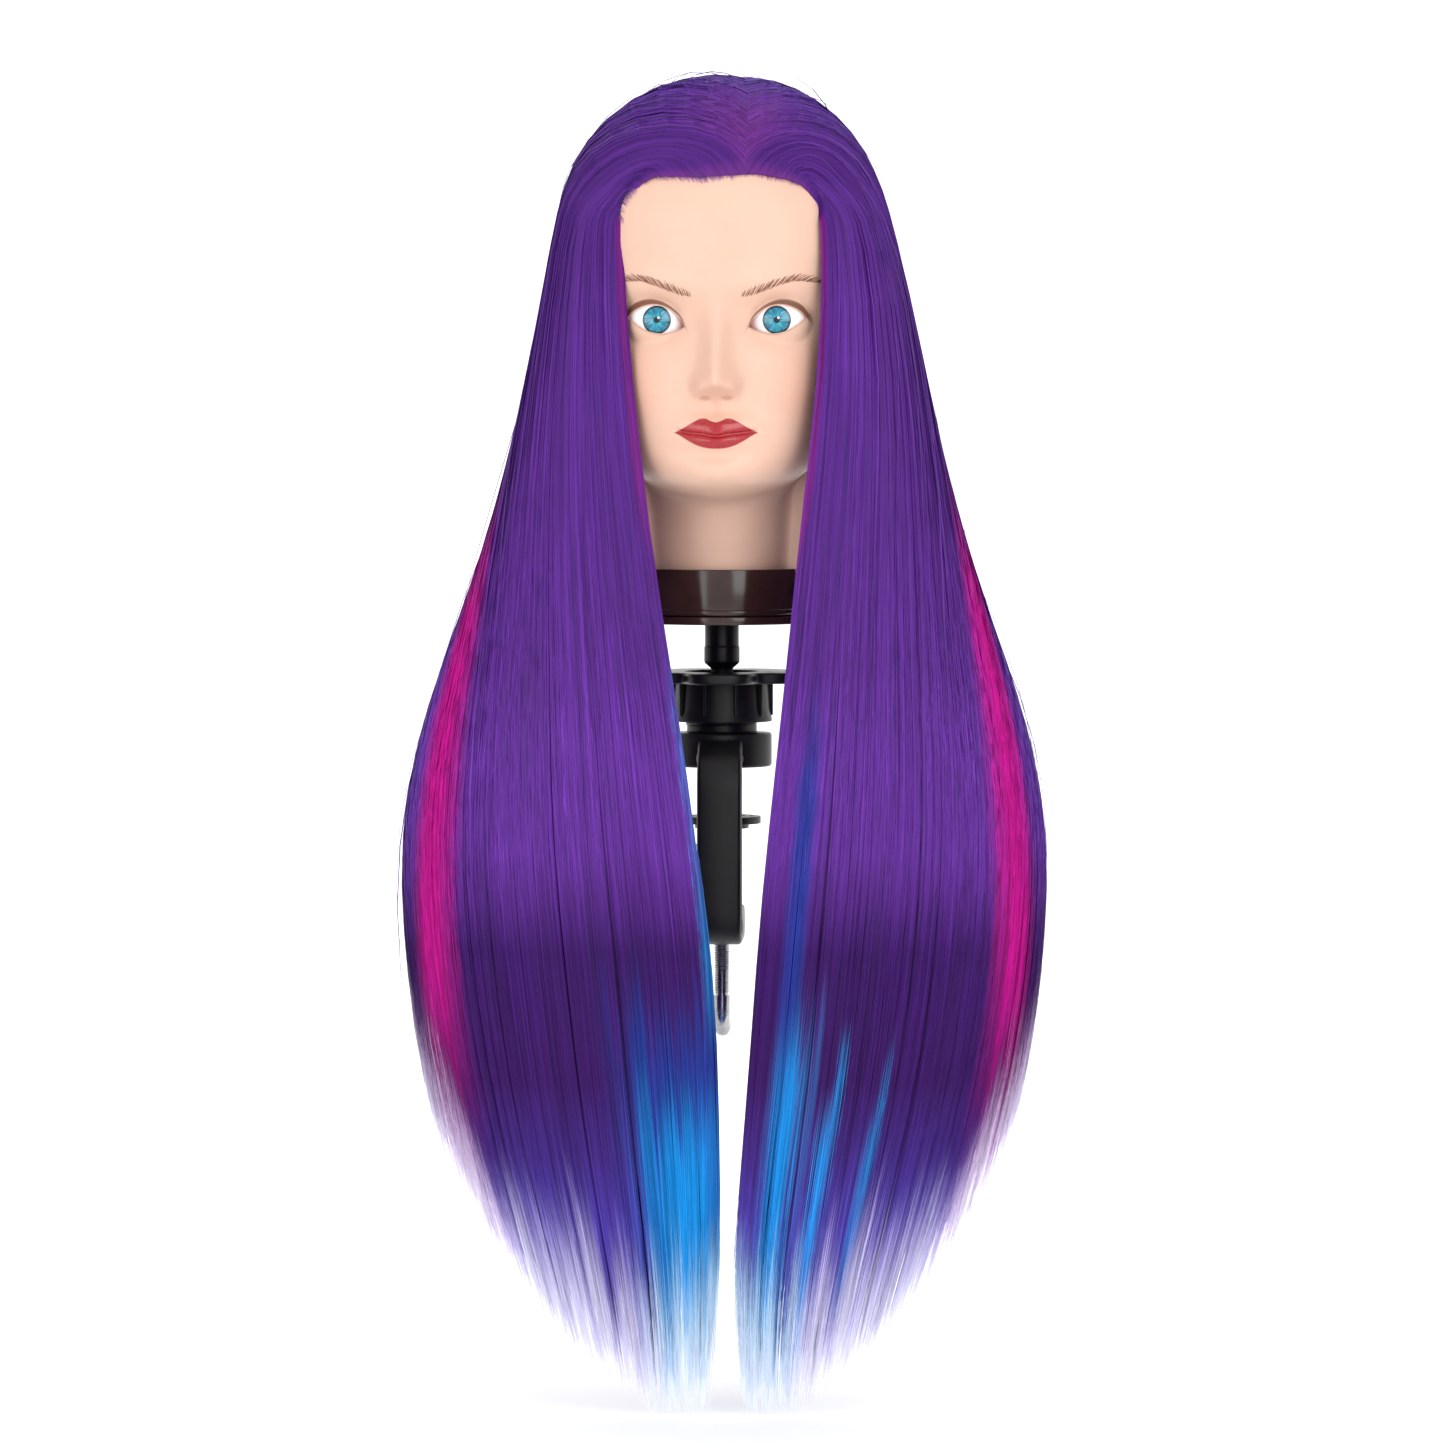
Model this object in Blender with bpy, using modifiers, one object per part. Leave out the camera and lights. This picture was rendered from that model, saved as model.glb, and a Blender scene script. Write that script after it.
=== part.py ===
"""A hairdresser's training head with long implanted hair, standing on its table clamp.

The frame: +Z is up and the face looks along -Y. The origin is on the clamp screw's axis, at the
underside of the clamp's upper jaw, where the top of a table would be. The head sits on the clamp's
fluted post, the post's ball is gripped by the star nut, and the screw grips the table from below.
"""

import math

import bmesh
import bpy
from mathutils import Matrix, Vector
from mathutils.bvhtree import BVHTree

MM = 0.001
GAP = 0.3 * MM  # between two pieces that touch
TURN = 2 * math.pi
ROUND_STEPS = 28  # facets round a turned piece
WIDE_STEPS = 40  # round the widest ones
SMALL_STEPS = 20  # round the narrow ones

# ---- table clamp: screw, pad and frame -----------------------------------------------------
ROD_DIAMETER = 8 * MM
ROD_BELOW_ARM = 45 * MM  # from the arm down to the handle, with the screw as it stands
HANDLE_LENGTH = 32 * MM
HANDLE_BEND_RADIUS = 11 * MM
PAD_DIAMETER = 39 * MM
PAD_PLATE = 3.7 * MM
PAD_STEP_DIAMETER = 27 * MM
PAD_STEP = 2.4 * MM
PAD_NECK_DIAMETER = 18 * MM
PAD_HEIGHT = 16 * MM
PAD_BORE_DEPTH = 11 * MM
PAD_ROUND = 0.8 * MM
TABLE_THICKNESS = 25 * MM  # the clamp stands open for a board of this thickness
THROAT = 70 * MM  # jaw to lower arm
SPINE_DEPTH = 20 * MM
FRAME_WIDTH = 22 * MM
ARM_HEIGHT = 17.5 * MM
ARM_REACH = 22 * MM  # the arm's round end, behind the axis
FRAME_ROUND = 2 * MM
FRAME_SHOULDER = 26 * MM
FRAME_HEEL = 17 * MM
FRAME_CROTCH = 9 * MM
GROOVE_DEPTH = 4 * MM
GROOVE_RIM = 4.5 * MM
GROOVE_TOP_DROP = 14 * MM
GROOVE_FOOT = 4 * MM
GROOVE_CORNER = 4 * MM
CAPTIVE_NUT_ACROSS = 13 * MM
CAPTIVE_NUT_HEIGHT = 6.5 * MM

# ---- table clamp: jaw, ball socket and post ------------------------------------------------
JAW_HEIGHT = 17 * MM
JAW_RIM = 6.5 * MM  # the jaw's rim, out past the thread
JAW_ROUND = 2 * MM
JAW_RECESS = 1 * MM  # the bridge to the spine stays this far above the jaw's face
JAW_FILLET = 5 * MM
THROAT_PAST_JAW = 3 * MM
BALL_DIAMETER = 30 * MM
BALL_ROOM = 0.4 * MM  # ball to the jaw's bore
SOCKET_WALL = 3.1 * MM
THREAD_PITCH = 4 * MM
THREAD_DEPTH = 1 * MM
THREAD_OVER_BALL_CENTRE = 4 * MM
CUP_FLOOR = 9 * MM
CUP_BASE = 3 * MM
CUP_RIM_BELOW_CENTRE = 6 * MM
RING_BELOW_BALL_TOP = 2 * MM
RING_LEDGE = 2.8 * MM  # the ring's hole is this much inside the ball's width on each side
NUT_WALL = 5.5 * MM  # the star nut's wall, over the thread
NUT_OVER_JAW = 5.5 * MM
NUT_ROOF = 2 * MM
NUT_RIBS = 10
NUT_RIB = 1.6 * MM
NUT_FLARE = 1.2 * MM
FLANGE_THICKNESS = 5.5 * MM
FLANGE_REACH = 18 * MM  # the lobes, out past the nut's wall
FLANGE_LOBES = 5
FLANGE_DIP = 9 * MM
FLANGE_ROUND = 1.4 * MM
FLANGE_HOLE_FLARE = 6 * MM
POST_NECK_DIAMETER = 11 * MM
POST_NECK_OUT = 4 * MM  # thin neck showing over the flange
SHAFT_DIAMETER = 17 * MM
SHAFT_LENGTH = 27.5 * MM
SHAFT_BAND = 0.4 * MM
SHAFT_BAND_HEIGHT = 8 * MM
CORE_DIAMETER = 12 * MM
CORE_LENGTH = 50 * MM
SLEEVE_LENGTH = 60 * MM
SLEEVE_TOP_DIAMETER = 23 * MM
SLEEVE_FOOT_DIAMETER = 26 * MM
SLEEVE_FLUTES = 12
FLUTE_DEPTH = 1.5 * MM

BORE_RADIUS = BALL_DIAMETER / 2 + BALL_ROOM
THREAD_DIAMETER = 2 * (BORE_RADIUS + SOCKET_WALL)
JAW_DIAMETER = THREAD_DIAMETER + 2 * JAW_RIM
THROAT_DEPTH = JAW_DIAMETER / 2 + THROAT_PAST_JAW  # screw axis to the spine
BALL_CENTRE = CUP_FLOOR + CUP_BASE + BALL_DIAMETER / 2
THREAD_TOP = BALL_CENTRE + THREAD_OVER_BALL_CENTRE
STAR_NUT_DIAMETER = THREAD_DIAMETER + 2 * NUT_WALL
STAR_NUT_FOOT = JAW_HEIGHT + NUT_OVER_JAW
STAR_NUT_ROOF = BALL_CENTRE + BALL_DIAMETER / 2 - RING_BELOW_BALL_TOP
RING_HOLE = BALL_DIAMETER - 2 * RING_LEDGE
FLANGE_BOTTOM = STAR_NUT_ROOF + NUT_ROOF
FLANGE_TOP = FLANGE_BOTTOM + FLANGE_THICKNESS
FLANGE_DIAMETER = STAR_NUT_DIAMETER + 2 * FLANGE_REACH
FLANGE_HOLE_FOOT = RING_HOLE + 1.6 * MM
FLANGE_HOLE_TOP = FLANGE_HOLE_FOOT + 2 * FLANGE_HOLE_FLARE
SHAFT_START = FLANGE_TOP + POST_NECK_OUT
SHAFT_END = SHAFT_START + SHAFT_LENGTH

# ---- head ------------------------------------------------------------------------------------
SLEEVE_FOOT_INSIDE = 7 * MM  # how far the sleeve's foot is up the neck
COLLAR_BOTTOM = SHAFT_END - SLEEVE_FOOT_INSIDE
NECK_RADIUS = 41.4 * MM
COLLAR_ROOM = 0.6 * MM
COLLAR_WALL = 4 * MM
COLLAR_DIAMETER = 2 * (NECK_RADIUS + COLLAR_ROOM + COLLAR_WALL)
COLLAR_HEIGHT = 27.5 * MM
COLLAR_ROUND = 1.5 * MM
BASE_HEIGHT = 4 * MM
BASE_OVERHANG = 0.8 * MM
BASE_ROUND = 1 * MM
BASE_RIBS = 6
BASE_RIB = 2 * MM
NECK_PLUG_HEIGHT = 16 * MM
NECK_PLUG_WALL = 2.6 * MM
NECK_PLUG_ROOM = 0.8 * MM
SOCKET_TUBE_WALL = 2.4 * MM
SOCKET_TUBE_FLANGE = 6 * MM
SLEEVE_ROOM = SLEEVE_FOOT_DIAMETER / 2 + GAP
SHELL_WALL = 4 * MM
EYE_DIAMETER = 32 * MM
EYE_SPACING = 59 * MM
EYE_HEIGHT = 151.5 * MM
EYE_CENTRE_Y = -66.5 * MM
EYE_DOME_DEPTH = 9 * MM

NECK = NECK_RADIUS / MM
EYE = EYE_SPACING / 2 / MM
# Head outline by height over the collar's bottom edge: (height, face, back, half width), all in mm.
HEAD_OUTLINE = (
    (5, NECK, NECK, NECK),
    (27, NECK, NECK, NECK),
    (40, NECK + 0.6, NECK + 1.1, NECK + 0.6),
    (56, NECK + 2.1, NECK + 4.6, NECK + 1.6),
    (62, 50, 49, 44.5),
    (66, 69, 52, 47),
    (70, 83, 56, 50),
    (78, 90, 62, 54),
    (92, 91, 71, 59.5),
    (110, 89.5, 80, 64.5),
    (130, 88, 87, 69),
    (150, 88, 91.5, 72.5),
    (172, 92, 94, 75),
    (192, 93.5, 94.5, 75),
    (210, 90.5, 92, 73),
    (226, 82.5, 86, 68),
    (240, 70, 76, 59.5),
    (252, 53, 60, 47),
    (261, 33, 39, 30.5),
    (266.5, 14, 17, 13.5),
)
HEAD_TOP = 268.5 * MM
JAW_LIFT = 27 * MM  # how much higher the jaw's lower edge is under the ear than at the chin

# Nose, lips, chin, brow and cheeks: (sideways, height, forwards, width, tall), all in mm.
FACE_BUMPS = (
    (0, 145, 4.5, 5, 13),
    (0, 131, 8, 6, 11),
    (0, 121.5, 14, 7.5, 6.5),
    (9, 118.5, 6.5, 4, 4.5),
    (0, 100.5, 4.5, 13, 3.6),
    (0, 92, 5, 11, 3.6),
    (0, 77, 4.5, 13, 7),
    (24, 168, 1.8, 13, 5),
    (EYE, EYE_HEIGHT / MM, -9.5, 11.5, 8.5),
    (33, 122, 3, 14, 16),
)
HEAD_COLUMNS = 36
FACE_TOP = 180
FACE_ROWS = 18
SKULL_ROWS = 6
CAVITY_ROWS = 10
CAVITY_STEPS = 24
CAVITY_FRONT = 70 * MM
CAVITY_BACK = 78 * MM
CAVITY_NARROWS = 7 * MM
NECK_TOP = 56 * MM

# ---- hair --------------------------------------------------------------------------------------
# Heights here are over the collar's bottom edge.
HAIR_TOP = 275 * MM
HAIR_DOME_FOOT = 220 * MM
HAIR_SPLIT = 128 * MM  # below this the back hair parts into two halves
HAIR_HINGE = 58 * MM  # below this the hair hangs free of the head
HAIR_HINGE_Y = -89 * MM
HAIR_TIP = -389 * MM
HAIR_LEVEL_TOP = -72 * MM  # the free locks' ends are level below this
HAIR_CLEARANCE = 2 * MM  # scalp to hair, for flat faces over a round head
HAIR_SWING = 21  # degrees that the free hair can swing back under the hair above it
LOCK_GAP = 0.004  # between two locks that hang side by side, as a share of the way round
BACK_GAP = 0.012  # between the side hair and the hair behind it, likewise

# Hair curtain by height: (height, outer edge, front edge's Y, widest point's Y, back edge's X,
# back edge's Y, turn in degrees from the face edge to the back edge, thickness), all in mm.
HAIR_OUTLINE = (
    (-389, 70, -70, -55, 50, -50, 100, 5),
    (-352, 88, -72, -52, 60, -45, 102, 9),
    (-319, 104, -74, -50, 70, -40, 104, 13),
    (-269, 129, -78, -48, 80, -35, 106, 17),
    (-219, 150, -82, -46, 90, -30, 108, 20),
    (-169, 158, -86, -45, 95, -25, 109, 23),
    (-119, 161.5, -90, -45, 98, -20, 110, 25),
    (-69, 156, -92, -45, 95, -12, 112, 25),
    (-22, 142, -91, -40, 85, 0, 118, 24),
    (26, 125, -88, -30, 60, 30, 135, 24),
    (66, 113, -85, -18, 40, 65, 152, 24),
    (106, 104, -82, -8, 15, 92, 168, 26),
    (146, 95, -80, 0, 0, 103, 180, 28),
    (186, 88, -79, 2, 0, 105, 180, 28),
    (220, 79.5, -72, 2, 0, 100, 180, 28),
)
# How far each curtain's inner edge is from the middle, by height, in mm.
INNER_EDGES = {
    -1: (
        (-389, 6), (-322, 1), (-219, 2), (-169, 3), (-119, 10), (-69, 16.5), (-22, 24), (26, 33),
        (66, 37.5), (106, 42), (146, 47.5), (220, 47.5),
    ),
    1: (
        (-389, 8), (-322, 2.5), (-219, 12), (-169, 15), (-119, 20), (-69, 26), (-22, 31), (26, 36.5),
        (66, 40.5), (106, 47), (146, 52), (220, 52),
    ),
}
# Hair dome by height: (height, half width, front, back), all in mm.
HAIR_DOME = (
    (220, 79.5, 84.5, 100),
    (230, 75, 80, 94),
    (240, 69.5, 73, 86),
    (250, 61.5, 63, 75),
    (259, 51.5, 51, 61),
    (266, 40, 38, 47),
    (271.5, 25, 23, 30),
)

DOME_INSIDE_LEVELS = (266, 260, 252, 242, 231, 220)
DOME_STEPS = 28
SIDE_SHARE = 0.7
SCALP_SPAN = 6  # mm up and down that a hair point keeps clear of the scalp
SCALP_LOOK = 0.3
FREE_LOCK_SPACING = 24 * MM
# Locks of the free hair: name, first share, last share, steps between them and finish.
FREE_LOCKS = (
    ("inner", 0, 0.2 - LOCK_GAP, 3, "blue_hair"),
    ("front", 0.2, 0.62 - LOCK_GAP, 6, "purple_hair"),
    ("outer", 0.62, 1, 5, "magenta_hair"),
)

# Colours: red, green and blue in linear light, roughness, metallic.
FINISHES = {
    "black_plastic": ((0.012, 0.012, 0.013), 0.38, 0.0),
    "zinc_steel": ((0.62, 0.62, 0.63), 0.28, 1.0),
    "vinyl_skin": ((0.86, 0.55, 0.40), 0.48, 0.0),
    "brown_plastic": ((0.035, 0.014, 0.010), 0.22, 0.0),
    "grey_plastic": ((0.30, 0.30, 0.31), 0.5, 0.0),
    "eye_acrylic": ((0.75, 0.80, 0.85), 0.08, 0.0),
    "purple_hair": ((0.13, 0.035, 0.33), 0.42, 0.0),
    "magenta_hair": ((0.55, 0.005, 0.20), 0.42, 0.0),
    "blue_hair": ((0.01, 0.14, 0.62), 0.42, 0.0),
}


# ---- scene and material helpers ------------------------------------------------------------
def clear_scene():
    for obj in list(bpy.data.objects):
        bpy.data.objects.remove(obj, do_unlink=True)


def new_collection(name, hidden=False):
    made = bpy.data.collections.new(name)
    bpy.context.scene.collection.children.link(made)
    made.hide_render = hidden
    return made


def finish_material(name):
    if name in bpy.data.materials:
        return bpy.data.materials[name]
    colour, roughness, metallic = FINISHES[name]
    material = bpy.data.materials.new(name)
    material.use_nodes = True
    shader = material.node_tree.nodes["Principled BSDF"]
    shader.inputs["Base Color"].default_value = (*colour, 1)
    shader.inputs["Roughness"].default_value = roughness
    shader.inputs["Metallic"].default_value = metallic
    return material


def add_object(name, data, finish=None):
    """A part with this finish, or a hidden cutter if it has none."""
    obj = bpy.data.objects.new(name, data)
    if finish:
        PARTS.objects.link(obj)
        data.materials.append(finish_material(finish))
    else:
        CUTTERS.objects.link(obj)
        obj.hide_render = True
        obj.display_type = "WIRE"
    return obj


def pivot(name, place):
    """An empty on a joint's axis, for the pieces that turn about it."""
    empty = bpy.data.objects.new(name, None)
    PARTS.objects.link(empty)
    empty.location = place
    empty.hide_render = True
    return empty


def turns_about(obj, empty):
    obj.parent = empty
    obj.location = -empty.location


def combine(obj, other, operation="DIFFERENCE"):
    modifier = obj.modifiers.new(f"{operation.lower()} {other.name}", "BOOLEAN")
    modifier.object = other
    modifier.operation = operation
    modifier.solver = "EXACT"


def round_rims(obj, width, segments=2):
    """Rounds the edges that meet at more than a faceted arc's angle."""
    bevel = obj.modifiers.new("rims", "BEVEL")
    bevel.width = width
    bevel.segments = segments
    bevel.limit_method = "ANGLE"
    bevel.angle_limit = math.radians(50)


# ---- shape helpers -------------------------------------------------------------------------
def turned(name, profile, finish=None, steps=ROUND_STEPS):
    """A solid turned about Z. The profile is (radius, height) points that run up the outer side,
    and it starts and ends on the axis or closes on itself."""
    points = [(radius, 0, height) for radius, height in reversed(profile)]
    edges = [(i, i + 1) for i in range(len(points) - 1)]
    if points[0][0] > 0 or points[-1][0] > 0:
        edges.append((len(points) - 1, 0))
    mesh = bpy.data.meshes.new(name)
    mesh.from_pydata(points, edges, [])
    obj = add_object(name, mesh, finish)
    screw = obj.modifiers.new("turn", "SCREW")
    screw.steps = screw.render_steps = steps
    screw.use_merge_vertices = True
    screw.merge_threshold = 1e-6
    return obj


def flat_solid(name, outline, low, high, finish=None, frame=Matrix()):
    """A flat outline of (x, y) points, filled and given a thickness from low to high along the
    frame's Z, as a mesh that can be cut."""
    curve = bpy.data.curves.new(name, "CURVE")
    curve.dimensions = "2D"
    curve.fill_mode = "BOTH"
    curve.extrude = (high - low) / 2
    spline = curve.splines.new("POLY")
    spline.points.add(len(outline) - 1)
    for point, (x, y) in zip(spline.points, outline):
        point.co = (x, y, 0, 1)
    spline.use_cyclic_u = True
    drawing = add_object(name, curve)
    drawing.matrix_world = frame @ Matrix.Translation((0, 0, (high + low) / 2))
    bpy.context.view_layer.update()
    graph = bpy.context.evaluated_depsgraph_get()
    mesh = bpy.data.meshes.new_from_object(drawing.evaluated_get(graph))
    mesh.name = name
    shape = bmesh.new()
    shape.from_mesh(mesh)
    bmesh.ops.remove_doubles(shape, verts=shape.verts, dist=1e-6)
    bmesh.ops.dissolve_limit(shape, angle_limit=math.radians(0.5), verts=shape.verts, edges=shape.edges)
    bmesh.ops.recalc_face_normals(shape, faces=shape.faces)
    shape.to_mesh(mesh)
    shape.free()
    mesh.transform(drawing.matrix_world)
    bpy.data.objects.remove(drawing, do_unlink=True)
    mesh.materials.clear()
    return add_object(name, mesh, finish)


def lofted(name, rings, finish=None, foot=None, top=None):
    """A solid through closed rings of equally many points; foot and top are points that close it."""
    shape = bmesh.new()
    made = [[shape.verts.new(point) for point in ring] for ring in rings]
    count = len(rings[0])
    for low, high in zip(made, made[1:]):
        for i in range(count):
            j = (i + 1) % count
            shape.faces.new((low[i], low[j], high[j], high[i]))
    for ring, tip in ((made[0], foot), (made[-1], top)):
        if tip is None:
            shape.faces.new(ring)
            continue
        point = shape.verts.new(tip)
        for i in range(count):
            shape.faces.new((ring[i], ring[(i + 1) % count], point))
    bmesh.ops.recalc_face_normals(shape, faces=shape.faces)
    mesh = bpy.data.meshes.new(name)
    shape.to_mesh(mesh)
    shape.free()
    mesh.shade_smooth()
    mesh.set_sharp_from_angle(angle=math.radians(40))
    return add_object(name, mesh, finish)


def boxes(name, places, size):
    """Equal boxes as one cutter: each place is a matrix for the box's middle."""
    shape = bmesh.new()
    for place in places:
        bmesh.ops.create_cube(shape, size=1, matrix=place @ Matrix.Diagonal((*size, 1)))
    mesh = bpy.data.meshes.new(name)
    shape.to_mesh(mesh)
    shape.free()
    return add_object(name, mesh)


def around_axis(count, radius, height):
    """Places for equal pieces round the Z axis."""
    for i in range(count):
        yield Matrix.Rotation(TURN * i / count, 4, "Z") @ Matrix.Translation((radius, 0, height))


def between(rows, height):
    """The values of a table at this height, on a smooth curve through its rows."""
    if height <= rows[0][0]:
        return rows[0][1:]
    if height >= rows[-1][0]:
        return rows[-1][1:]
    after = next(i for i, row in enumerate(rows) if row[0] > height)
    low, high = rows[after - 1], rows[after]
    before, beyond = rows[max(after - 2, 0)], rows[min(after + 1, len(rows) - 1)]
    span = high[0] - low[0]
    t = (height - low[0]) / span
    found = []
    for a, b, c, d in zip(before[1:], low[1:], high[1:], beyond[1:]):
        slope_low = (c - a) / (high[0] - before[0]) * span
        slope_high = (d - b) / (beyond[0] - low[0]) * span
        found.append(
            (2 * t**3 - 3 * t**2 + 1) * b
            + (t**3 - 2 * t**2 + t) * slope_low
            + (3 * t**2 - 2 * t**3) * c
            + (t**3 - t**2) * slope_high
        )
    return found


def smoothstep(low, high, value):
    t = min(1.0, max(0.0, (value - low) / (high - low)))
    return t * t * (3 - 2 * t)


def regular_polygon(across_flats, sides=6):
    radius = across_flats / 2 / math.cos(math.pi / sides)
    angles = [TURN * (i + 0.5) / sides for i in range(sides)]
    return [(radius * math.cos(a), radius * math.sin(a)) for a in angles]


def arc(centre, radius, start, end, count):
    """Points on an arc in (x, y), with its angles in degrees."""
    angles = [math.radians(start + (end - start) * i / count) for i in range(count + 1)]
    return [(centre[0] + radius * math.cos(a), centre[1] + radius * math.sin(a)) for a in angles]


# ---- table clamp -----------------------------------------------------------------------------
PAD_TOP = -TABLE_THICKNESS
PAD_BOTTOM = PAD_TOP - PAD_HEIGHT
ARM_TOP = -THROAT
ARM_BOTTOM = ARM_TOP - ARM_HEIGHT
BORE_RADIUS = THREAD_DIAMETER / 2 - SOCKET_WALL
ROD_ROOM = ROD_DIAMETER / 2 + GAP
SPINE_INSIDE = THROAT_DEPTH
SPINE_OUTSIDE = THROAT_DEPTH + SPINE_DEPTH
FRAME_TOP = JAW_HEIGHT - JAW_ROUND - 0.8 * MM
SIDE_VIEW = Matrix(((0, 0, -1, 0), (-1, 0, 0, 0), (0, 1, 0, 0), (0, 0, 0, 1)))  # x to the front, y up


def frame_outline():
    """The C frame from the side, as (distance from the axis towards the spine, height) points."""
    half_arm = ARM_HEIGHT / 2
    under_jaw = (SPINE_INSIDE - JAW_FILLET, JAW_RECESS - JAW_FILLET)
    into_jaw = JAW_DIAMETER / 2 - 8 * MM
    points = [(into_jaw, FRAME_TOP)]
    points += arc((SPINE_OUTSIDE - FRAME_SHOULDER, FRAME_TOP - FRAME_SHOULDER), FRAME_SHOULDER, 90, 0, 7)
    points += arc((SPINE_OUTSIDE - FRAME_HEEL, ARM_BOTTOM + FRAME_HEEL), FRAME_HEEL, 0, -90, 6)
    points += arc((half_arm - ARM_REACH, ARM_BOTTOM + half_arm), half_arm, -90, -270, 8)
    points += arc((SPINE_INSIDE - FRAME_CROTCH, ARM_TOP + FRAME_CROTCH), FRAME_CROTCH, -90, 0, 4)
    points += arc(under_jaw, JAW_FILLET, 0, 90, 3)
    points += [(into_jaw, JAW_RECESS)]
    return points


def groove_outline():
    """The recess in each side of the spine, as (distance from the axis, height) points."""
    outer, inner = SPINE_OUTSIDE - GROOVE_RIM, SPINE_INSIDE + GROOVE_RIM
    top, floor = FRAME_TOP - GROOVE_TOP_DROP, ARM_BOTTOM + GROOVE_RIM
    wide = (outer - inner) / 2
    heel = FRAME_HEEL - GROOVE_RIM
    foot = inner - GROOVE_FOOT
    round_foot = (ARM_HEIGHT - 2 * GROOVE_RIM) / 2
    points = arc((outer - wide, top - wide), wide, 180, 0, 8)
    points += arc((outer - heel, floor + heel), heel, 0, -90, 4)
    points += arc((foot, floor + round_foot), round_foot, -90, -270, 6)
    corner = (inner - GROOVE_CORNER, floor + 2 * round_foot + GROOVE_CORNER)
    points += arc(corner, GROOVE_CORNER, -90, 0, 3)
    return points


def jaw_profile():
    """The round jaw with the male thread above it."""
    root, crest = THREAD_DIAMETER / 2 - THREAD_DEPTH, THREAD_DIAMETER / 2
    profile = [
        (0, 0),
        (JAW_DIAMETER / 2 - JAW_ROUND, 0),
        (JAW_DIAMETER / 2, JAW_ROUND),
        (JAW_DIAMETER / 2, JAW_HEIGHT - JAW_ROUND),
        (JAW_DIAMETER / 2 - JAW_ROUND, JAW_HEIGHT),
        (root, JAW_HEIGHT),
    ]
    start = JAW_HEIGHT + 1 * MM
    for turn in range(int((THREAD_TOP - start) / THREAD_PITCH)):
        low = start + turn * THREAD_PITCH
        profile += [
            (root, low),
            (crest, low + 0.3 * THREAD_PITCH),
            (crest, low + 0.6 * THREAD_PITCH),
            (root, low + 0.9 * THREAD_PITCH),
        ]
    return profile + [(root, THREAD_TOP), (0, THREAD_TOP)]


def rod(radius, low, high):
    """The profile of a plain round bar or hole."""
    return [(0, low), (radius, low), (radius, high), (0, high)]


def build_clamp_frame():
    half, over = FRAME_WIDTH / 2, 2 * MM
    frame = flat_solid("clamp_frame", frame_outline(), -half, half, "black_plastic", SIDE_VIEW)
    round_rims(frame, FRAME_ROUND)
    floor = half - GROOVE_DEPTH
    for side, span in (("right", (floor, half + over)), ("left", (-half - over, -floor))):
        combine(frame, flat_solid(f"groove_{side}", groove_outline(), *span, frame=SIDE_VIEW))
    combine(frame, turned("jaw_body", jaw_profile()), "UNION")
    combine(frame, turned("socket_bore", rod(BORE_RADIUS, CUP_FLOOR - GAP, THREAD_TOP + over)))
    combine(frame, turned("rod_hole", rod(ROD_ROOM, ARM_BOTTOM - over, ARM_TOP + over), steps=SMALL_STEPS))
    pocket = regular_polygon(CAPTIVE_NUT_ACROSS + 2 * GAP)
    combine(frame, flat_solid("nut_pocket", pocket, ARM_TOP - CAPTIVE_NUT_HEIGHT, ARM_TOP + over))


def build_captive_nut():
    low = ARM_TOP - CAPTIVE_NUT_HEIGHT + GAP
    nut = flat_solid("captive_nut", regular_polygon(CAPTIVE_NUT_ACROSS), low, ARM_TOP, "zinc_steel")
    combine(nut, turned("nut_hole", rod(ROD_ROOM, low - MM, ARM_TOP + MM), steps=SMALL_STEPS))


def build_pressure_pad():
    radius, step, neck = PAD_DIAMETER / 2, PAD_STEP_DIAMETER / 2, PAD_NECK_DIAMETER / 2
    bore_top = PAD_BOTTOM + PAD_BORE_DEPTH
    plate_bottom = PAD_TOP - PAD_PLATE
    step_bottom = plate_bottom - PAD_STEP
    profile = [
        (0, bore_top),
        (ROD_ROOM, bore_top),
        (ROD_ROOM, PAD_BOTTOM),
        (neck - 1 * MM, PAD_BOTTOM),
        (neck, step_bottom),
        (step, step_bottom),
        (step, plate_bottom),
        (radius, plate_bottom),
        (radius, PAD_TOP - PAD_ROUND),
        (radius - PAD_ROUND, PAD_TOP),
        (0, PAD_TOP),
    ]
    turned("pressure_pad", profile, "black_plastic")


def build_clamp_screw():
    """The threaded rod, bent at its foot into the handle: down the axis, then out to the back."""
    top = PAD_BOTTOM + PAD_BORE_DEPTH - GAP
    bend_top = ARM_BOTTOM - ROD_BELOW_ARM + HANDLE_BEND_RADIUS
    points = [(0, 0, top), (0, 0, bend_top + 2 * MM)]
    for across, up in arc((HANDLE_BEND_RADIUS, bend_top), HANDLE_BEND_RADIUS, 180, 270, 6):
        points.append((0, across, up))
    points.append((0, HANDLE_LENGTH, bend_top - HANDLE_BEND_RADIUS))
    curve = bpy.data.curves.new("clamp_screw", "CURVE")
    curve.dimensions = "3D"
    curve.bevel_depth = ROD_DIAMETER / 2
    curve.bevel_resolution = 3
    curve.use_fill_caps = True
    spline = curve.splines.new("POLY")
    spline.points.add(len(points) - 1)
    for point, place in zip(spline.points, points):
        point.co = (*place, 1)
    add_object("clamp_screw", curve, "zinc_steel")


def star_outline():
    """The flange's edge: round lobes with dips between them, one lobe to the front."""
    points = []
    steps = FLANGE_LOBES * 10
    for i in range(steps):
        angle = TURN * i / steps
        dip = FLANGE_DIP * (0.5 - 0.5 * math.cos(FLANGE_LOBES * angle)) ** 3
        radius = FLANGE_DIAMETER / 2 - dip
        points.append((radius * math.sin(angle), -radius * math.cos(angle)))
    return points


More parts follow.
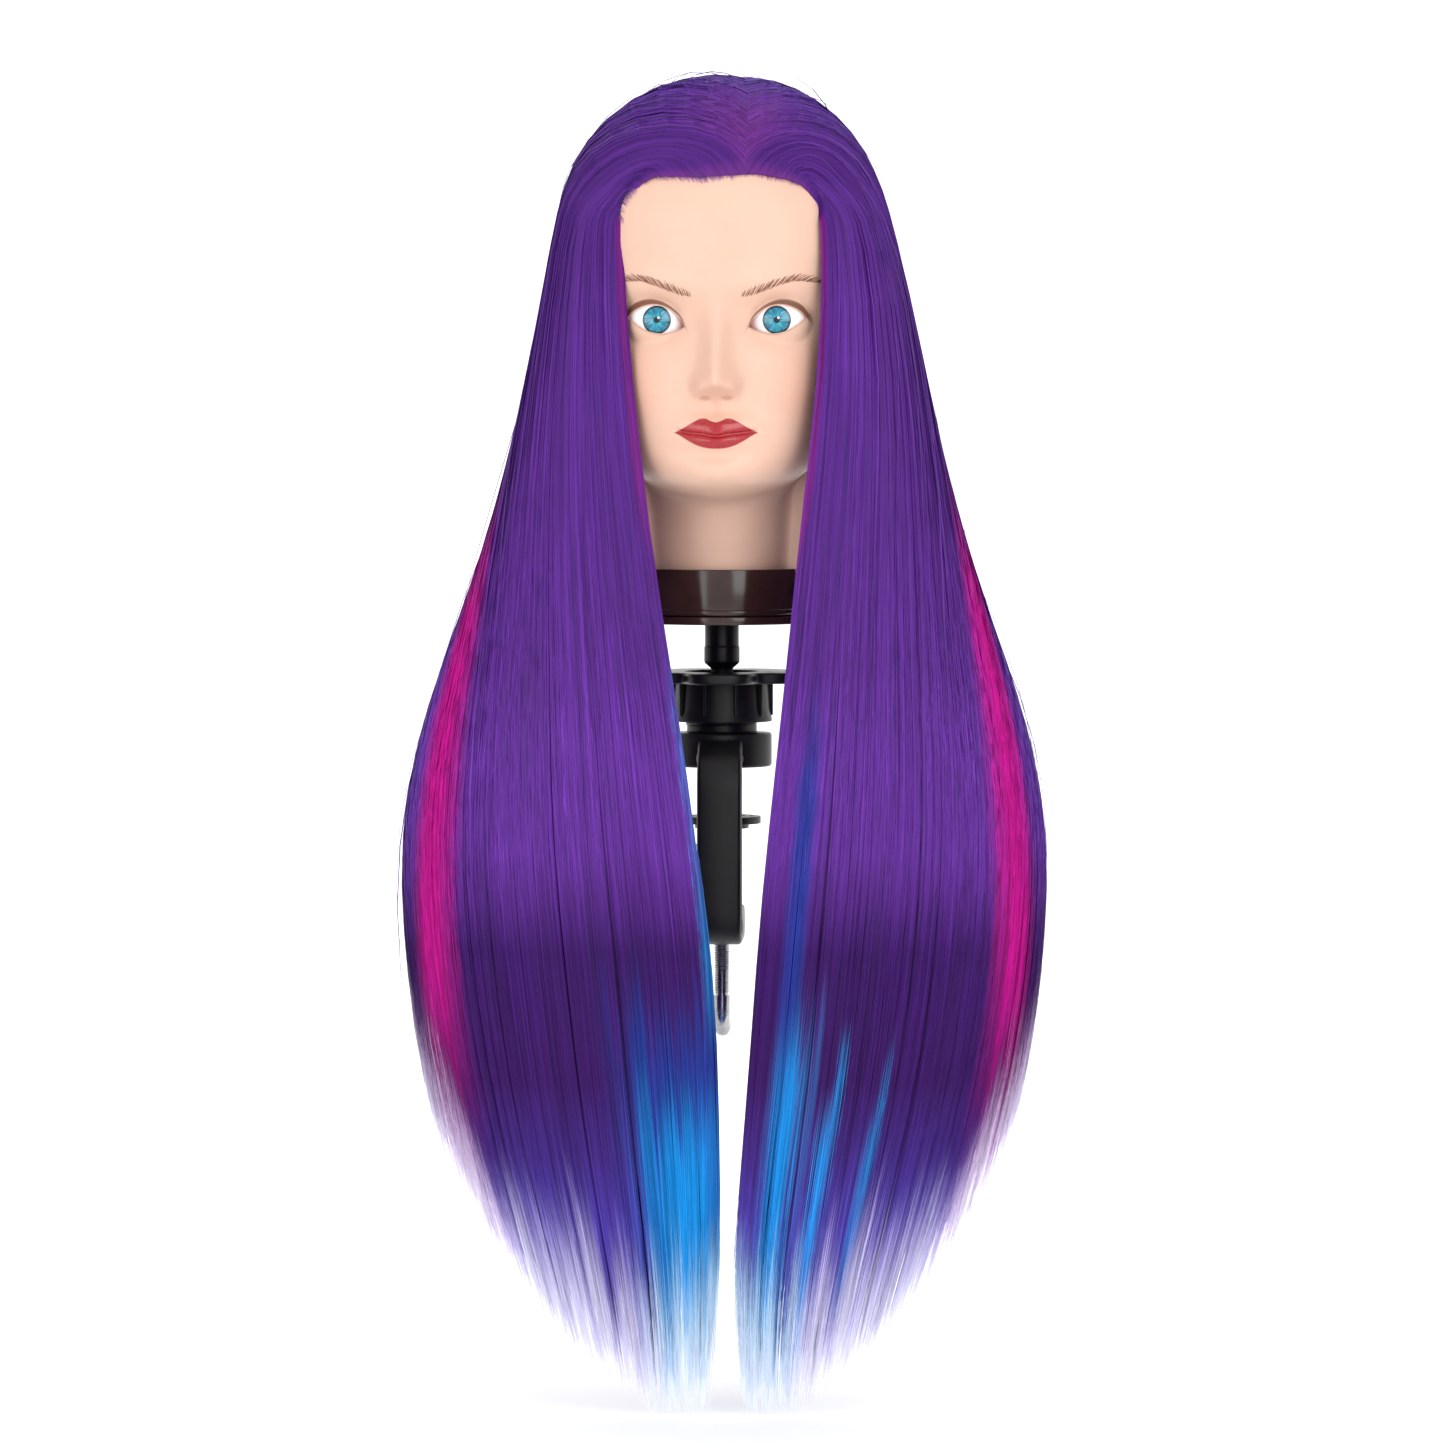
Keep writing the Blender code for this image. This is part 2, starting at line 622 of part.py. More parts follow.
def build_star_nut():
    nut = flat_solid("star_nut", star_outline(), FLANGE_BOTTOM, FLANGE_TOP, "black_plastic")
    round_rims(nut, FLANGE_ROUND, 1)
    skirt, merge = STAR_NUT_DIAMETER / 2, FLANGE_BOTTOM + 1 * MM
    body = [
        (0, STAR_NUT_FOOT),
        (skirt + NUT_FLARE, STAR_NUT_FOOT),
        (skirt, STAR_NUT_FOOT + 6 * MM),
        (skirt - 0.8 * MM, merge),
        (0, merge),
    ]
    combine(nut, turned("nut_body", body), "UNION")
    tall = merge - STAR_NUT_FOOT - 3 * MM
    ribs = around_axis(NUT_RIBS, skirt, merge - tall / 2)
    combine(nut, boxes("nut_ribs", ribs, (2 * NUT_RIB, NUT_RIB, tall)), "UNION")
    room, over = THREAD_DIAMETER / 2 + GAP, 2 * MM
    hollow = [
        (0, STAR_NUT_FOOT - over),
        (room, STAR_NUT_FOOT - over),
        (room, STAR_NUT_ROOF),
        (FLANGE_HOLE_FOOT / 2, STAR_NUT_ROOF),
        (FLANGE_HOLE_TOP / 2, FLANGE_TOP),
        (FLANGE_HOLE_TOP / 2, FLANGE_TOP + over),
        (0, FLANGE_TOP + over),
    ]
    combine(nut, turned("nut_hollow", hollow))


def ball_arc(radius, low, high, count):
    """(radius, height) points on a sphere about the ball's centre, between two heights over it."""
    points = []
    for i in range(count + 1):
        height = low + (high - low) * i / count
        points.append((math.sqrt(max(radius**2 - height**2, 0)), BALL_CENTRE + height))
    return points


def build_friction_ring():
    """The ring that the star nut presses on the ball."""
    seat, hole, outer = BALL_DIAMETER / 2 + GAP, RING_HOLE / 2, THREAD_DIAMETER / 2
    low, high = THREAD_TOP + 1 * MM, STAR_NUT_ROOF - GAP
    seat_top = math.sqrt(seat**2 - hole**2)
    ring = [(outer, low), (outer, high), (hole, high)]
    ring += ball_arc(seat, seat_top, low - BALL_CENTRE, 5)
    turned("friction_ring", ring, "grey_plastic")


def build_swivel_cup():
    """The seat under the ball, which turns in the jaw's bore."""
    seat, outer = BALL_DIAMETER / 2 + GAP, BORE_RADIUS - GAP
    cup = [(0, CUP_FLOOR), (outer, CUP_FLOOR), (outer, BALL_CENTRE - CUP_RIM_BELOW_CENTRE)]
    cup += ball_arc(seat, -CUP_RIM_BELOW_CENTRE, -seat, 7)
    turned("swivel_cup", cup, "grey_plastic")


def build_ball_post():
    ball, neck = BALL_DIAMETER / 2, POST_NECK_DIAMETER / 2
    shaft, core = SHAFT_DIAMETER / 2, CORE_DIAMETER / 2
    core_top = SHAFT_END + CORE_LENGTH
    post = ball_arc(ball, -ball, math.sqrt(ball**2 - neck**2), 9)
    post += [
        (neck, SHAFT_START - 2.5 * MM),
        (shaft, SHAFT_START),
        (shaft + SHAFT_BAND, SHAFT_START + 1 * MM),
        (shaft + SHAFT_BAND, SHAFT_START + SHAFT_BAND_HEIGHT),
        (shaft, SHAFT_START + SHAFT_BAND_HEIGHT + 1 * MM),
        (shaft, SHAFT_END - GAP),
        (core, SHAFT_END - GAP),
        (core, core_top - 1 * MM),
        (core - 1 * MM, core_top),
        (0, core_top),
    ]
    return turned("ball_post", post, "black_plastic", steps=SMALL_STEPS)


def build_fluted_sleeve():
    """The tapered plug that enters the head, with round flutes down its side."""
    top, foot = SLEEVE_TOP_DIAMETER / 2, SLEEVE_FOOT_DIAMETER / 2
    low, high = SHAFT_END, SHAFT_END + SLEEVE_LENGTH
    rings = []
    steps = SLEEVE_FLUTES * 4
    taper = ((low, foot - 4 * MM), (low + 7 * MM, foot), (high - 2 * MM, top), (high, top - 1 * MM))
    for height, radius in taper:
        ring = []
        for i in range(steps):
            angle = TURN * i / steps
            edge = radius - FLUTE_DEPTH * max(0.0, math.cos(SLEEVE_FLUTES * angle)) ** 0.7
            ring.append((edge * math.cos(angle), edge * math.sin(angle), height))
        rings.append(ring)
    sleeve = lofted("fluted_sleeve", rings, "black_plastic")
    bore = rod(CORE_DIAMETER / 2 + GAP, low - 2 * MM, SHAFT_END + CORE_LENGTH + GAP)
    combine(sleeve, turned("sleeve_bore", bore, steps=SMALL_STEPS))
    return sleeve


# ---- head ------------------------------------------------------------------------------------
def face_relief(across, height):
    """How far the features stand forwards of the plain oval, in mm, across and height in mm."""
    total = 0.0
    for place, level, forwards, wide, tall in FACE_BUMPS:
        sides = (-1, 1) if place else (1,)
        for side in sides:
            away = ((across - side * place) / wide) ** 2 + ((height - level) / tall) ** 2
            total += forwards * math.exp(-away / 2)
    return total


def head_point(angle, height, inset=0.0):
    """A point on the head's skin: angle from the face round to the back, height and inset in mm."""
    face, back, half = between(HEAD_OUTLINE, height)
    face, back, half = face - inset, back - inset, half - inset
    c, s = math.cos(angle), math.sin(angle)
    power = 2.0 + 0.3 * smoothstep(60, 90, height) * (1 - smoothstep(200, 235, height))
    reach = face if c > 0 else back
    size = (abs(c / reach) ** power + abs(s / half) ** power) ** (-1 / power)
    x, y = size * s, -size * c
    if c > 0:
        y -= face_relief(x, height) * smoothstep(0, 0.35, c)
    jaw = smoothstep(40, 66, height) * (1 - smoothstep(70, 165, height))
    side = (1 - c) / 2
    lift = JAW_LIFT * jaw * min(1.0, 1.25 * side**0.8)
    return Vector((x * MM, y * MM, COLLAR_BOTTOM + height * MM + lift))


def head_angles(count):
    """Angles round the head, closer together on the face."""
    angles = []
    for i in range(count):
        t = 2 * i / count - 1
        angles.append(math.pi * t * (0.5 + 0.5 * t * t))
    return angles


def head_heights():
    """Rows up the head in mm, closer together on the face."""
    low, high = HEAD_OUTLINE[0][0], HEAD_OUTLINE[-1][0]
    skull = [FACE_TOP + (high - FACE_TOP) * (i / SKULL_ROWS) ** 0.8 for i in range(1, SKULL_ROWS + 1)]
    return [low, low + 22, low + 35, low + 47] + spread(56, FACE_TOP, FACE_ROWS) + skull


def cavity_ring(height):
    """The hollow inside the head at this height in mm over the collar: a plain oval, narrow at the
    jaw, that leaves at least the shell's wall."""
    wall = SHELL_WALL / MM
    face, back, half = between(HEAD_OUTLINE, height)
    front = face - wall if height < NECK_TOP / MM else min(face - wall, CAVITY_FRONT / MM)
    behind = min(back, CAVITY_BACK / MM) - wall
    narrow = CAVITY_NARROWS / MM * smoothstep(55, 75, height) * (1 - smoothstep(120, 160, height))
    ring = []
    for step in range(CAVITY_STEPS):
        angle = TURN * step / CAVITY_STEPS
        reach = front if math.cos(angle) > 0 else behind
        x, y = (half - wall - narrow) * math.sin(angle), -reach * math.cos(angle)
        ring.append((x * MM, y * MM, COLLAR_BOTTOM + height * MM))
    return ring


def build_head_shell():
    angles = head_angles(HEAD_COLUMNS)
    rings = [[head_point(angle, height) for angle in angles] for height in head_heights()]
    head = lofted("head_shell", rings, "vinyl_skin", top=(0, 0, COLLAR_BOTTOM + HEAD_TOP))
    low, high = HEAD_OUTLINE[0][0] - 3, HEAD_OUTLINE[-2][0] - SHELL_WALL / MM
    heights = [low + (high - low) * i / (CAVITY_ROWS - 1) for i in range(CAVITY_ROWS)]
    combine(head, lofted("head_cavity", [cavity_ring(height) for height in heights]))
    for side, hand in ((-1, "right"), (1, "left")):
        combine(head, eye_ball(f"eye_socket_{hand}", side, EYE_DIAMETER / 2 + GAP))


def eye_ball(name, side, radius, depth=None, finish=None):
    """A ball in the eye's place, or only its front cap, depth deep and flat behind."""
    shape = bmesh.new()
    bmesh.ops.create_uvsphere(shape, u_segments=20, v_segments=12, radius=radius)
    bmesh.ops.rotate(shape, verts=shape.verts, matrix=Matrix.Rotation(math.pi / 2, 3, "X"))
    place = Vector((side * EYE_SPACING / 2, EYE_CENTRE_Y, COLLAR_BOTTOM + EYE_HEIGHT))
    bmesh.ops.translate(shape, verts=shape.verts, vec=place)
    if depth:
        geometry = shape.verts[:] + shape.edges[:] + shape.faces[:]
        back = place + Vector((0, depth - radius, 0))
        bmesh.ops.bisect_plane(shape, geom=geometry, plane_co=back, plane_no=(0, 1, 0), clear_outer=True)
        bmesh.ops.holes_fill(shape, edges=[edge for edge in shape.edges if edge.is_boundary])
        bmesh.ops.recalc_face_normals(shape, faces=shape.faces)
    mesh = bpy.data.meshes.new(name)
    shape.to_mesh(mesh)
    shape.free()
    mesh.shade_smooth()
    return add_object(name, mesh, finish)


def build_eyes():
    for side, name in ((-1, "eye_right"), (1, "eye_left")):
        eye_ball(name, side, EYE_DIAMETER / 2, EYE_DOME_DEPTH, "eye_acrylic")


def build_collar():
    outer, low = COLLAR_DIAMETER / 2, COLLAR_BOTTOM + BASE_HEIGHT + GAP
    high = COLLAR_BOTTOM + COLLAR_HEIGHT
    profile = [
        (outer - 0.6 * MM, low),
        (outer, low + 1 * MM),
        (outer, high - COLLAR_ROUND),
        (outer - COLLAR_ROUND, high),
        (outer - COLLAR_WALL, high),
        (outer - COLLAR_WALL, low),
    ]
    turned("collar_ring", profile, "brown_plastic", steps=WIDE_STEPS)


def build_base_plate():
    """The plug in the neck: a disc that closes the collar, with ribs in the recess underneath."""
    rim, hub = COLLAR_DIAMETER / 2 + BASE_OVERHANG, SLEEVE_ROOM + SOCKET_TUBE_WALL + GAP
    plug = NECK_RADIUS - SHELL_WALL - NECK_PLUG_ROOM
    low, high = COLLAR_BOTTOM, COLLAR_BOTTOM + BASE_HEIGHT
    web, hub_wall, rim_wall = high - 1.5 * MM, 3 * MM, 5 * MM
    profile = [
        (hub, low),
        (hub + hub_wall, low),
        (hub + hub_wall, web),
        (rim - rim_wall, web),
        (rim - rim_wall, low),
        (rim - BASE_ROUND, low),
        (rim, low + BASE_ROUND),
        (rim, high - BASE_ROUND),
        (rim - BASE_ROUND, high),
        (plug, high),
        (plug, high + NECK_PLUG_HEIGHT),
        (plug - NECK_PLUG_WALL, high + NECK_PLUG_HEIGHT),
        (plug - NECK_PLUG_WALL, high),
        (hub, high),
    ]
    plate = turned("base_plate", profile, "brown_plastic", steps=WIDE_STEPS)
    long, middle = rim - hub - rim_wall - hub_wall + 2 * MM, (rim - rim_wall + hub + hub_wall) / 2
    tall = web - low + 0.2 * MM
    ribs = around_axis(BASE_RIBS, middle, web + 0.5 * MM - tall / 2)
    combine(plate, boxes("base_ribs", ribs, (long, BASE_RIB, tall)), "UNION")


def build_socket_tube():
    """The blind tube in the neck that the fluted sleeve enters."""
    outer, seat = SLEEVE_ROOM + SOCKET_TUBE_WALL, COLLAR_BOTTOM + BASE_HEIGHT + GAP
    ceiling = SHAFT_END + SLEEVE_LENGTH + GAP
    profile = [
        (0, ceiling),
        (SLEEVE_ROOM, ceiling),
        (SLEEVE_ROOM, COLLAR_BOTTOM),
        (outer, COLLAR_BOTTOM),
        (outer, seat),
        (outer + SOCKET_TUBE_FLANGE, seat),
        (outer + SOCKET_TUBE_FLANGE, seat + SOCKET_TUBE_WALL),
        (outer, seat + SOCKET_TUBE_WALL),
        (outer, ceiling + SOCKET_TUBE_WALL),
        (0, ceiling + SOCKET_TUBE_WALL),
    ]
    turned("socket_tube", profile, "grey_plastic")


# ---- hair --------------------------------------------------------------------------------------
def hair_edge(side, share, height):
    """The hair's outer surface seen from above, in mm: share runs from the face edge (0) round to
    the back edge (1), and height is over the collar's bottom edge."""
    (inner,) = between(INNER_EDGES[side], height)
    widest, front_y, widest_y, back_x, back_y, turn, _ = between(HAIR_OUTLINE, height)
    angle = math.radians(turn * share)
    c, s = math.cos(angle), math.sin(angle)
    if c > 0:
        return Vector((side * (inner + (widest - inner) * s), widest_y - (widest_y - front_y) * c))
    return Vector((side * (back_x + (widest - back_x) * s), widest_y - (back_y - widest_y) * c))


def scalp_radius(skull, towards, height):
    """How far the head reaches from the Z axis in this direction near this height, in mm."""
    direction = Vector((towards.x, towards.y, 0)).normalized()
    reach = 0.0
    for level in (height - SCALP_SPAN, height, height + SCALP_SPAN):
        start = Vector((0, 0, COLLAR_BOTTOM + level * MM)) + direction * SCALP_LOOK
        hit = skull.ray_cast(start, -direction, SCALP_LOOK)[0]
        if hit:
            reach = max(reach, Vector((hit.x, hit.y)).length / MM)
    return reach


def hair_point(skull, side, share, inside, height):
    """A point of the hair's outer or inner surface at this height, all in mm."""
    here = hair_edge(side, share, height)
    if not inside:
        return here
    ahead = hair_edge(side, min(share + 0.01, 1), height)
    behind = hair_edge(side, max(share - 0.01, 0), height)
    along = (ahead - behind).normalized()
    rounded = 0.38 + 0.62 * math.sin(math.pi * share) ** 0.6
    deep = here + Vector((-along.y, along.x)) * side * between(HAIR_OUTLINE, height)[-1] * rounded
    least = scalp_radius(skull, deep, height) + HAIR_CLEARANCE / MM
    if height > HAIR_SPLIT / MM - 1 or deep.length < least:
        return deep.normalized() * least
    return deep


def hair_ring(skull, side, shares, level, slope=0.0):
    """A closed ring round the hair between the first and last share: outside, then inside. A ring
    on a slope drops towards the back from the hinge."""
    ring = []
    walk = [(share, False) for share in shares] + [(share, True) for share in reversed(shares)]
    for share, inside in walk:
        height = level
        for _ in range(6 if slope else 1):
            place = hair_point(skull, side, share, inside, height)
            height = level - slope * max(0.0, place.y - HAIR_HINGE_Y / MM)
        ring.append((place.x * MM, place.y * MM, COLLAR_BOTTOM + height * MM))
    return ring


def spread(first, last, count):
    return [first + (last - first) * i / count for i in range(count + 1)]


def levels(low, high, spacing):
    return spread(low / MM, high / MM, max(1, math.ceil((high - low) / spacing)))


def build_hair_lock(name, skull, side, shares, heights, finish):
    rings = [hair_ring(skull, side, shares, height) for height in heights]
    return lofted(name, rings, finish)


def build_free_lock(name, skull, side, shares, finish, hinge):
    """A lock that hangs below the hinge. Its top slopes down to the back, so that it can swing."""
    rings = []
    swing = math.tan(math.radians(HAIR_SWING))
    for height in levels(HAIR_TIP, HAIR_HINGE - GAP / 2, FREE_LOCK_SPACING):
        slope = swing * smoothstep(HAIR_LEVEL_TOP / MM, HAIR_HINGE / MM, height)
        rings.append(hair_ring(skull, side, shares, height, slope))
    turns_about(lofted(name, rings, finish), hinge)


def build_hair_back(skull):
    """The back of the head, across the middle, above where the hair parts."""
    shares = spread(SIDE_SHARE + BACK_GAP, 1, 7)
    rings = []
    for height in levels(HAIR_SPLIT + GAP / 2, HAIR_DOME_FOOT - GAP / 2, 16 * MM):
        right = hair_ring(skull, -1, shares, height)
        left = hair_ring(skull, 1, shares, height)
        count = len(shares)
        rings.append(right[:count] + left[: count - 1][::-1] + left[count:][::-1] + right[count + 1 :])
    lofted("hair_back", rings, "purple_hair")


def dome_ring(skull, height, inside):
    """A ring of the hair's dome over the top of the head, height in mm."""
    half, face, back = between(HAIR_DOME, height)
    ring = []
    for step in range(DOME_STEPS):
        angle = TURN * step / DOME_STEPS
        reach = face if math.cos(angle) > 0 else back
        point = Vector((half * math.sin(angle), -reach * math.cos(angle)))
        if inside:
            point = point.normalized() * (scalp_radius(skull, point, height) + HAIR_CLEARANCE / MM)
        ring.append((point.x * MM, point.y * MM, COLLAR_BOTTOM + height * MM))
    return ring


def build_hair_crown(skull):
    """A dome from the hairline over the top of the head."""
    inner = [dome_ring(skull, height, True) for height in DOME_INSIDE_LEVELS]
    outer = [dome_ring(skull, row[0], False) for row in HAIR_DOME]
    scalp_top = COLLAR_BOTTOM + HEAD_TOP + HAIR_CLEARANCE
    top = COLLAR_BOTTOM + HAIR_TOP
    lofted("hair_crown", inner + outer, "purple_hair", foot=(0, 0, scalp_top), top=(0, 0, top))


def build_hair():
    bpy.context.view_layer.update()
    graph = bpy.context.evaluated_depsgraph_get()
    skull = BVHTree.FromObject(bpy.data.objects["head_shell"], graph)
    build_hair_crown(skull)
    build_hair_back(skull)
    for side, hand in ((-1, "right"), (1, "left")):
        over = levels(HAIR_HINGE + GAP / 2, HAIR_DOME_FOOT - GAP / 2, 14 * MM)
        nape = levels(HAIR_HINGE + GAP / 2, HAIR_SPLIT - GAP / 2, 14 * MM)
        temple = spread(0, SIDE_SHARE, 10)
        behind = spread(SIDE_SHARE + BACK_GAP, 1, 5)
        build_hair_lock(f"hair_side_{hand}", skull, side, temple, over, "purple_hair")
        build_hair_lock(f"hair_nape_{hand}", skull, side, behind, nape, "purple_hair")
        hinge = pivot(f"hair_hinge_{hand}", (0, HAIR_HINGE_Y, COLLAR_BOTTOM + HAIR_HINGE))
        for lock, first, last, count, finish in FREE_LOCKS:
            shares = spread(first, last, count)
            build_free_lock(f"hair_{lock}_{hand}", skull, side, shares, finish, hinge)


def main():
    build_clamp_frame()
    build_captive_nut()
    build_pressure_pad()
    build_clamp_screw()
    build_star_nut()
    build_friction_ring()
    build_swivel_cup()
    tilt = pivot("post_tilt", (0, 0, BALL_CENTRE))
    turns_about(build_ball_post(), tilt)
    turns_about(build_fluted_sleeve(), tilt)
    build_head_shell()
    build_eyes()
    build_collar()
    build_base_plate()
    build_socket_tube()
    build_hair()


clear_scene()
PARTS = new_collection("training_head")
CUTTERS = new_collection("cutters", hidden=True)
main()
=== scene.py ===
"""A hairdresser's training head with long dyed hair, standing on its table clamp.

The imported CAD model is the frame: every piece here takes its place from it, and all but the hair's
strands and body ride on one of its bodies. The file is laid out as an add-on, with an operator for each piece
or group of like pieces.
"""

import math

import bpy
import numpy as np
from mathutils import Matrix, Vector
from mathutils.bvhtree import BVHTree


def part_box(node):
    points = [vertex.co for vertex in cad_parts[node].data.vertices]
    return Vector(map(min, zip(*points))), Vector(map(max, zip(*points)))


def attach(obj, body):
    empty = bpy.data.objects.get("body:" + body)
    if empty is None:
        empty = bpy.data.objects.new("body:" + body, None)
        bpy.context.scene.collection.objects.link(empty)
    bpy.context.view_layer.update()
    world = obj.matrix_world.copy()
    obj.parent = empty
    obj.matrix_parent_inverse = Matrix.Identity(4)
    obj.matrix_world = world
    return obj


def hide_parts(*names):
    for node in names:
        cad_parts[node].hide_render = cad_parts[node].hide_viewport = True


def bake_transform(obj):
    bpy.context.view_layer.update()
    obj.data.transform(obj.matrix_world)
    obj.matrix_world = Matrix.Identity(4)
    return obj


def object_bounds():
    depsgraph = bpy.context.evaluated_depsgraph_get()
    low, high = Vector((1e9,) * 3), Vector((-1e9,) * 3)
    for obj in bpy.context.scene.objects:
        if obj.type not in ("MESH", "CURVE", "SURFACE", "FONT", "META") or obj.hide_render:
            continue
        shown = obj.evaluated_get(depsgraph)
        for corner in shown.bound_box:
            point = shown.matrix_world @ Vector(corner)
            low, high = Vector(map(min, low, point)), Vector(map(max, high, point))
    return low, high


bl_info = {
    "name": "Training Head",
    "version": (1, 0, 0),
    "blender": (4, 5, 0),
    "location": "View3D > Sidebar > Training Head",
    "description": "Builds a hair training head, its dyed hair and its table clamp round the packed frame",
    "category": "Object",
}

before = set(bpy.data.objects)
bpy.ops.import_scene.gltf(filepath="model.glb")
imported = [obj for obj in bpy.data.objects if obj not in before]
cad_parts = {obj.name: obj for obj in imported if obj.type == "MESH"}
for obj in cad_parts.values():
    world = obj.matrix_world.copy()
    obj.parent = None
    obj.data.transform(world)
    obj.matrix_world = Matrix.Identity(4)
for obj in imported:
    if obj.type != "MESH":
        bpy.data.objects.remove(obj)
CAD_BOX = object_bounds()

MM = 0.001
TURN = 2 * math.pi
SIDES = ((-1, "right"), (1, "left"))

# ---- places taken from the frame -------------------------------------------------------------
COLLAR_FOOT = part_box("base_plate")[0].z
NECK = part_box("collar_ring")[1].x / MM - 4.6
EYE_LEVEL = ((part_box("eye_left")[0].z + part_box("eye_left")[1].z) / 2 - COLLAR_FOOT) / MM
EYE_ACROSS = (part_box("eye_left")[0].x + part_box("eye_left")[1].x) / 2 / MM
EYE_FRONT = -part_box("eye_left")[0].y / MM
EYE_RADIUS = 16
EYE_DEEP = EYE_FRONT - EYE_RADIUS

# ---- head, in mm: heights are over the collar's foot ------------------------------------------
# Outline by height: (height, face, back, half width).
HEAD_OUTLINE = (
    (5, NECK, NECK, NECK),
    (27, NECK, NECK, NECK),
    (40, NECK + 0.6, NECK + 1.1, NECK + 0.6),
    (56, NECK + 2.1, NECK + 4.6, NECK + 1.6),
    (62, 50, 49, 44.5),
    (66, 69, 52, 47),
    (70, 83, 56, 50),
    (78, 90, 62, 54),
    (92, 91, 71, 59.5),
    (110, 89.5, 80, 64.5),
    (130, 88, 87, 69),
    (150, 88, 91.5, 72.5),
    (172, 92, 94, 75),
    (192, 93.5, 94.5, 75),
    (210, 90.5, 92, 73),
    (226, 82.5, 86, 68),
    (240, 70, 76, 59.5),
    (252, 53, 60, 47),
    (261, 33, 39, 30.5),
    (266.5, 14, 17, 13.5),
)
JAW_LIFT = 27
# Nose, lips, chin, brow and cheeks: (sideways, height, forwards, half width, reach up, reach down).
FACE_BUMPS = (
    (0, 146, 4.2, 4.6, 13, 12),
    (0, 131, 8, 4.8, 11, 10),
    (0, 120.8, 14.0, 5.8, 7.5, 4.4),
    (8.4, 118.0, 6.2, 3.0, 4.2, 3.0),
    (12.8, 117.4, -1.1, 1.7, 3.6, 3.2),
    (5.2, 113.6, -1.5, 2.8, 1.7, 1.6),
    (0, 108, -0.9, 2.0, 3.2, 3.0),
    (4.4, 107.5, 0.5, 1.8, 3.4, 3.4),
    (0, 100.3, 4.9, 13, 3.4, 3.8),
    (0, 92.2, 5.4, 11, 3.6, 3.2),
    (0, 84.5, -1.4, 11, 2.4, 2.6),
    (0, 76, 4.8, 13, 7.5, 6),
    (23, 168, 2.0, 13, 5, 5),
    (EYE_ACROSS, EYE_LEVEL, -9.5, 11.5, 9, 8),
    (34, 121, 3.0, 14, 16, 15),
)
LID_RADIUS = EYE_RADIUS + 1.1
LID_BLEND = 3.0
# The eye's opening, from its inner to its outer corner, about the eyeball's centre.
EYE_INNER = (-13.7, -3.4)
EYE_OUTER = (14.3, 1.1)
EYE_RISE = 8.5
EYE_DROP = 5.3
MOUTH_HALF = 20.5
# The edges of the painted lips by distance from the middle: (across, height), in mm.
LIP_TOP = ((0, 101.4), (2.5, 102.1), (6.3, 103.4), (11, 101.6), (16, 98.6), (20.8, 96.2))
LIP_FOOT = ((0, 88.4), (4, 88.6), (9, 89.9), (14, 92.4), (18, 94.9), (20.8, 96.2))
LIP_CORNER = LIP_TOP[-1][0]
# The brows by distance from the middle: (across, height of their middle, half height), in mm.
BROW = (
    (12.5, 164.4, 1.5), (17, 166.0, 2.4), (24, 168.6, 2.7), (31, 171.0, 2.4), (38, 172.4, 1.9),
    (51, 170.4, 0.8),
)

# ---- hair, in mm ------------------------------------------------------------------------------
# Curtain by height: (height, outer edge, front edge's Y, widest point's Y, back edge's X,
# back edge's Y, turn in degrees from the face edge to the back edge, thickness).
HAIR_OUTLINE = (
    (-389, 96, -70, -55, 60, -50, 100, 7),
    (-352, 111, -72, -52, 66, -45, 102, 11),
    (-319, 123, -74, -50, 74, -40, 104, 14),
    (-269, 139, -78, -48, 82, -35, 106, 18),
    (-219, 151, -82, -46, 90, -30, 108, 20),
    (-169, 158, -86, -45, 95, -25, 109, 23),
    (-119, 161.5, -90, -45, 98, -20, 110, 25),
    (-69, 156, -92, -45, 95, -12, 112, 25),
    (-22, 142, -91, -40, 85, 0, 118, 24),
    (26, 125, -88, -30, 60, 30, 135, 24),
    (66, 113, -85, -18, 40, 65, 152, 24),
    (106, 104, -82, -8, 15, 92, 168, 26),
    (146, 95, -80, 0, 0, 103, 180, 28),
    (186, 88, -79, 2, 0, 105, 180, 28),
    (220, 79.5, -72, 2, 0, 100, 180, 28),
)
# How far each curtain's inner edge is from the middle, by height.
INNER_EDGES = {
    -1: (
        (-389, 6), (-322, 1), (-219, 2), (-169, 3), (-119, 10), (-69, 16.5), (-22, 24), (26, 33),
        (66, 37.5), (106, 42), (146, 47.5), (220, 47.5),
    ),
    1: (
        (-389, 8), (-322, 2.5), (-219, 12), (-169, 15), (-119, 20), (-69, 26), (-22, 31), (26, 36.5),
        (66, 40.0), (106, 45.8), (146, 50), (220, 50),
    ),
}
# Dome over the top of the head by height: (height, half width, front, back).
HAIR_DOME = (
    (220, 79.5, 87.5, 100),
    (230, 75, 83.5, 94),
    (240, 69.5, 75.5, 86),
    (250, 61.5, 65, 75),
    (259, 51.5, 52.5, 61),
    (266, 40, 39, 47),
    (271.5, 25, 24, 30),
    (275, 1, 1, 1),
)
DOME_CENTRE = 190
DOME_FOOT = 196
HAIR_TIP = -389
HAIR_LEAN = 2.5  # the curtains hang this much towards +X of the dome
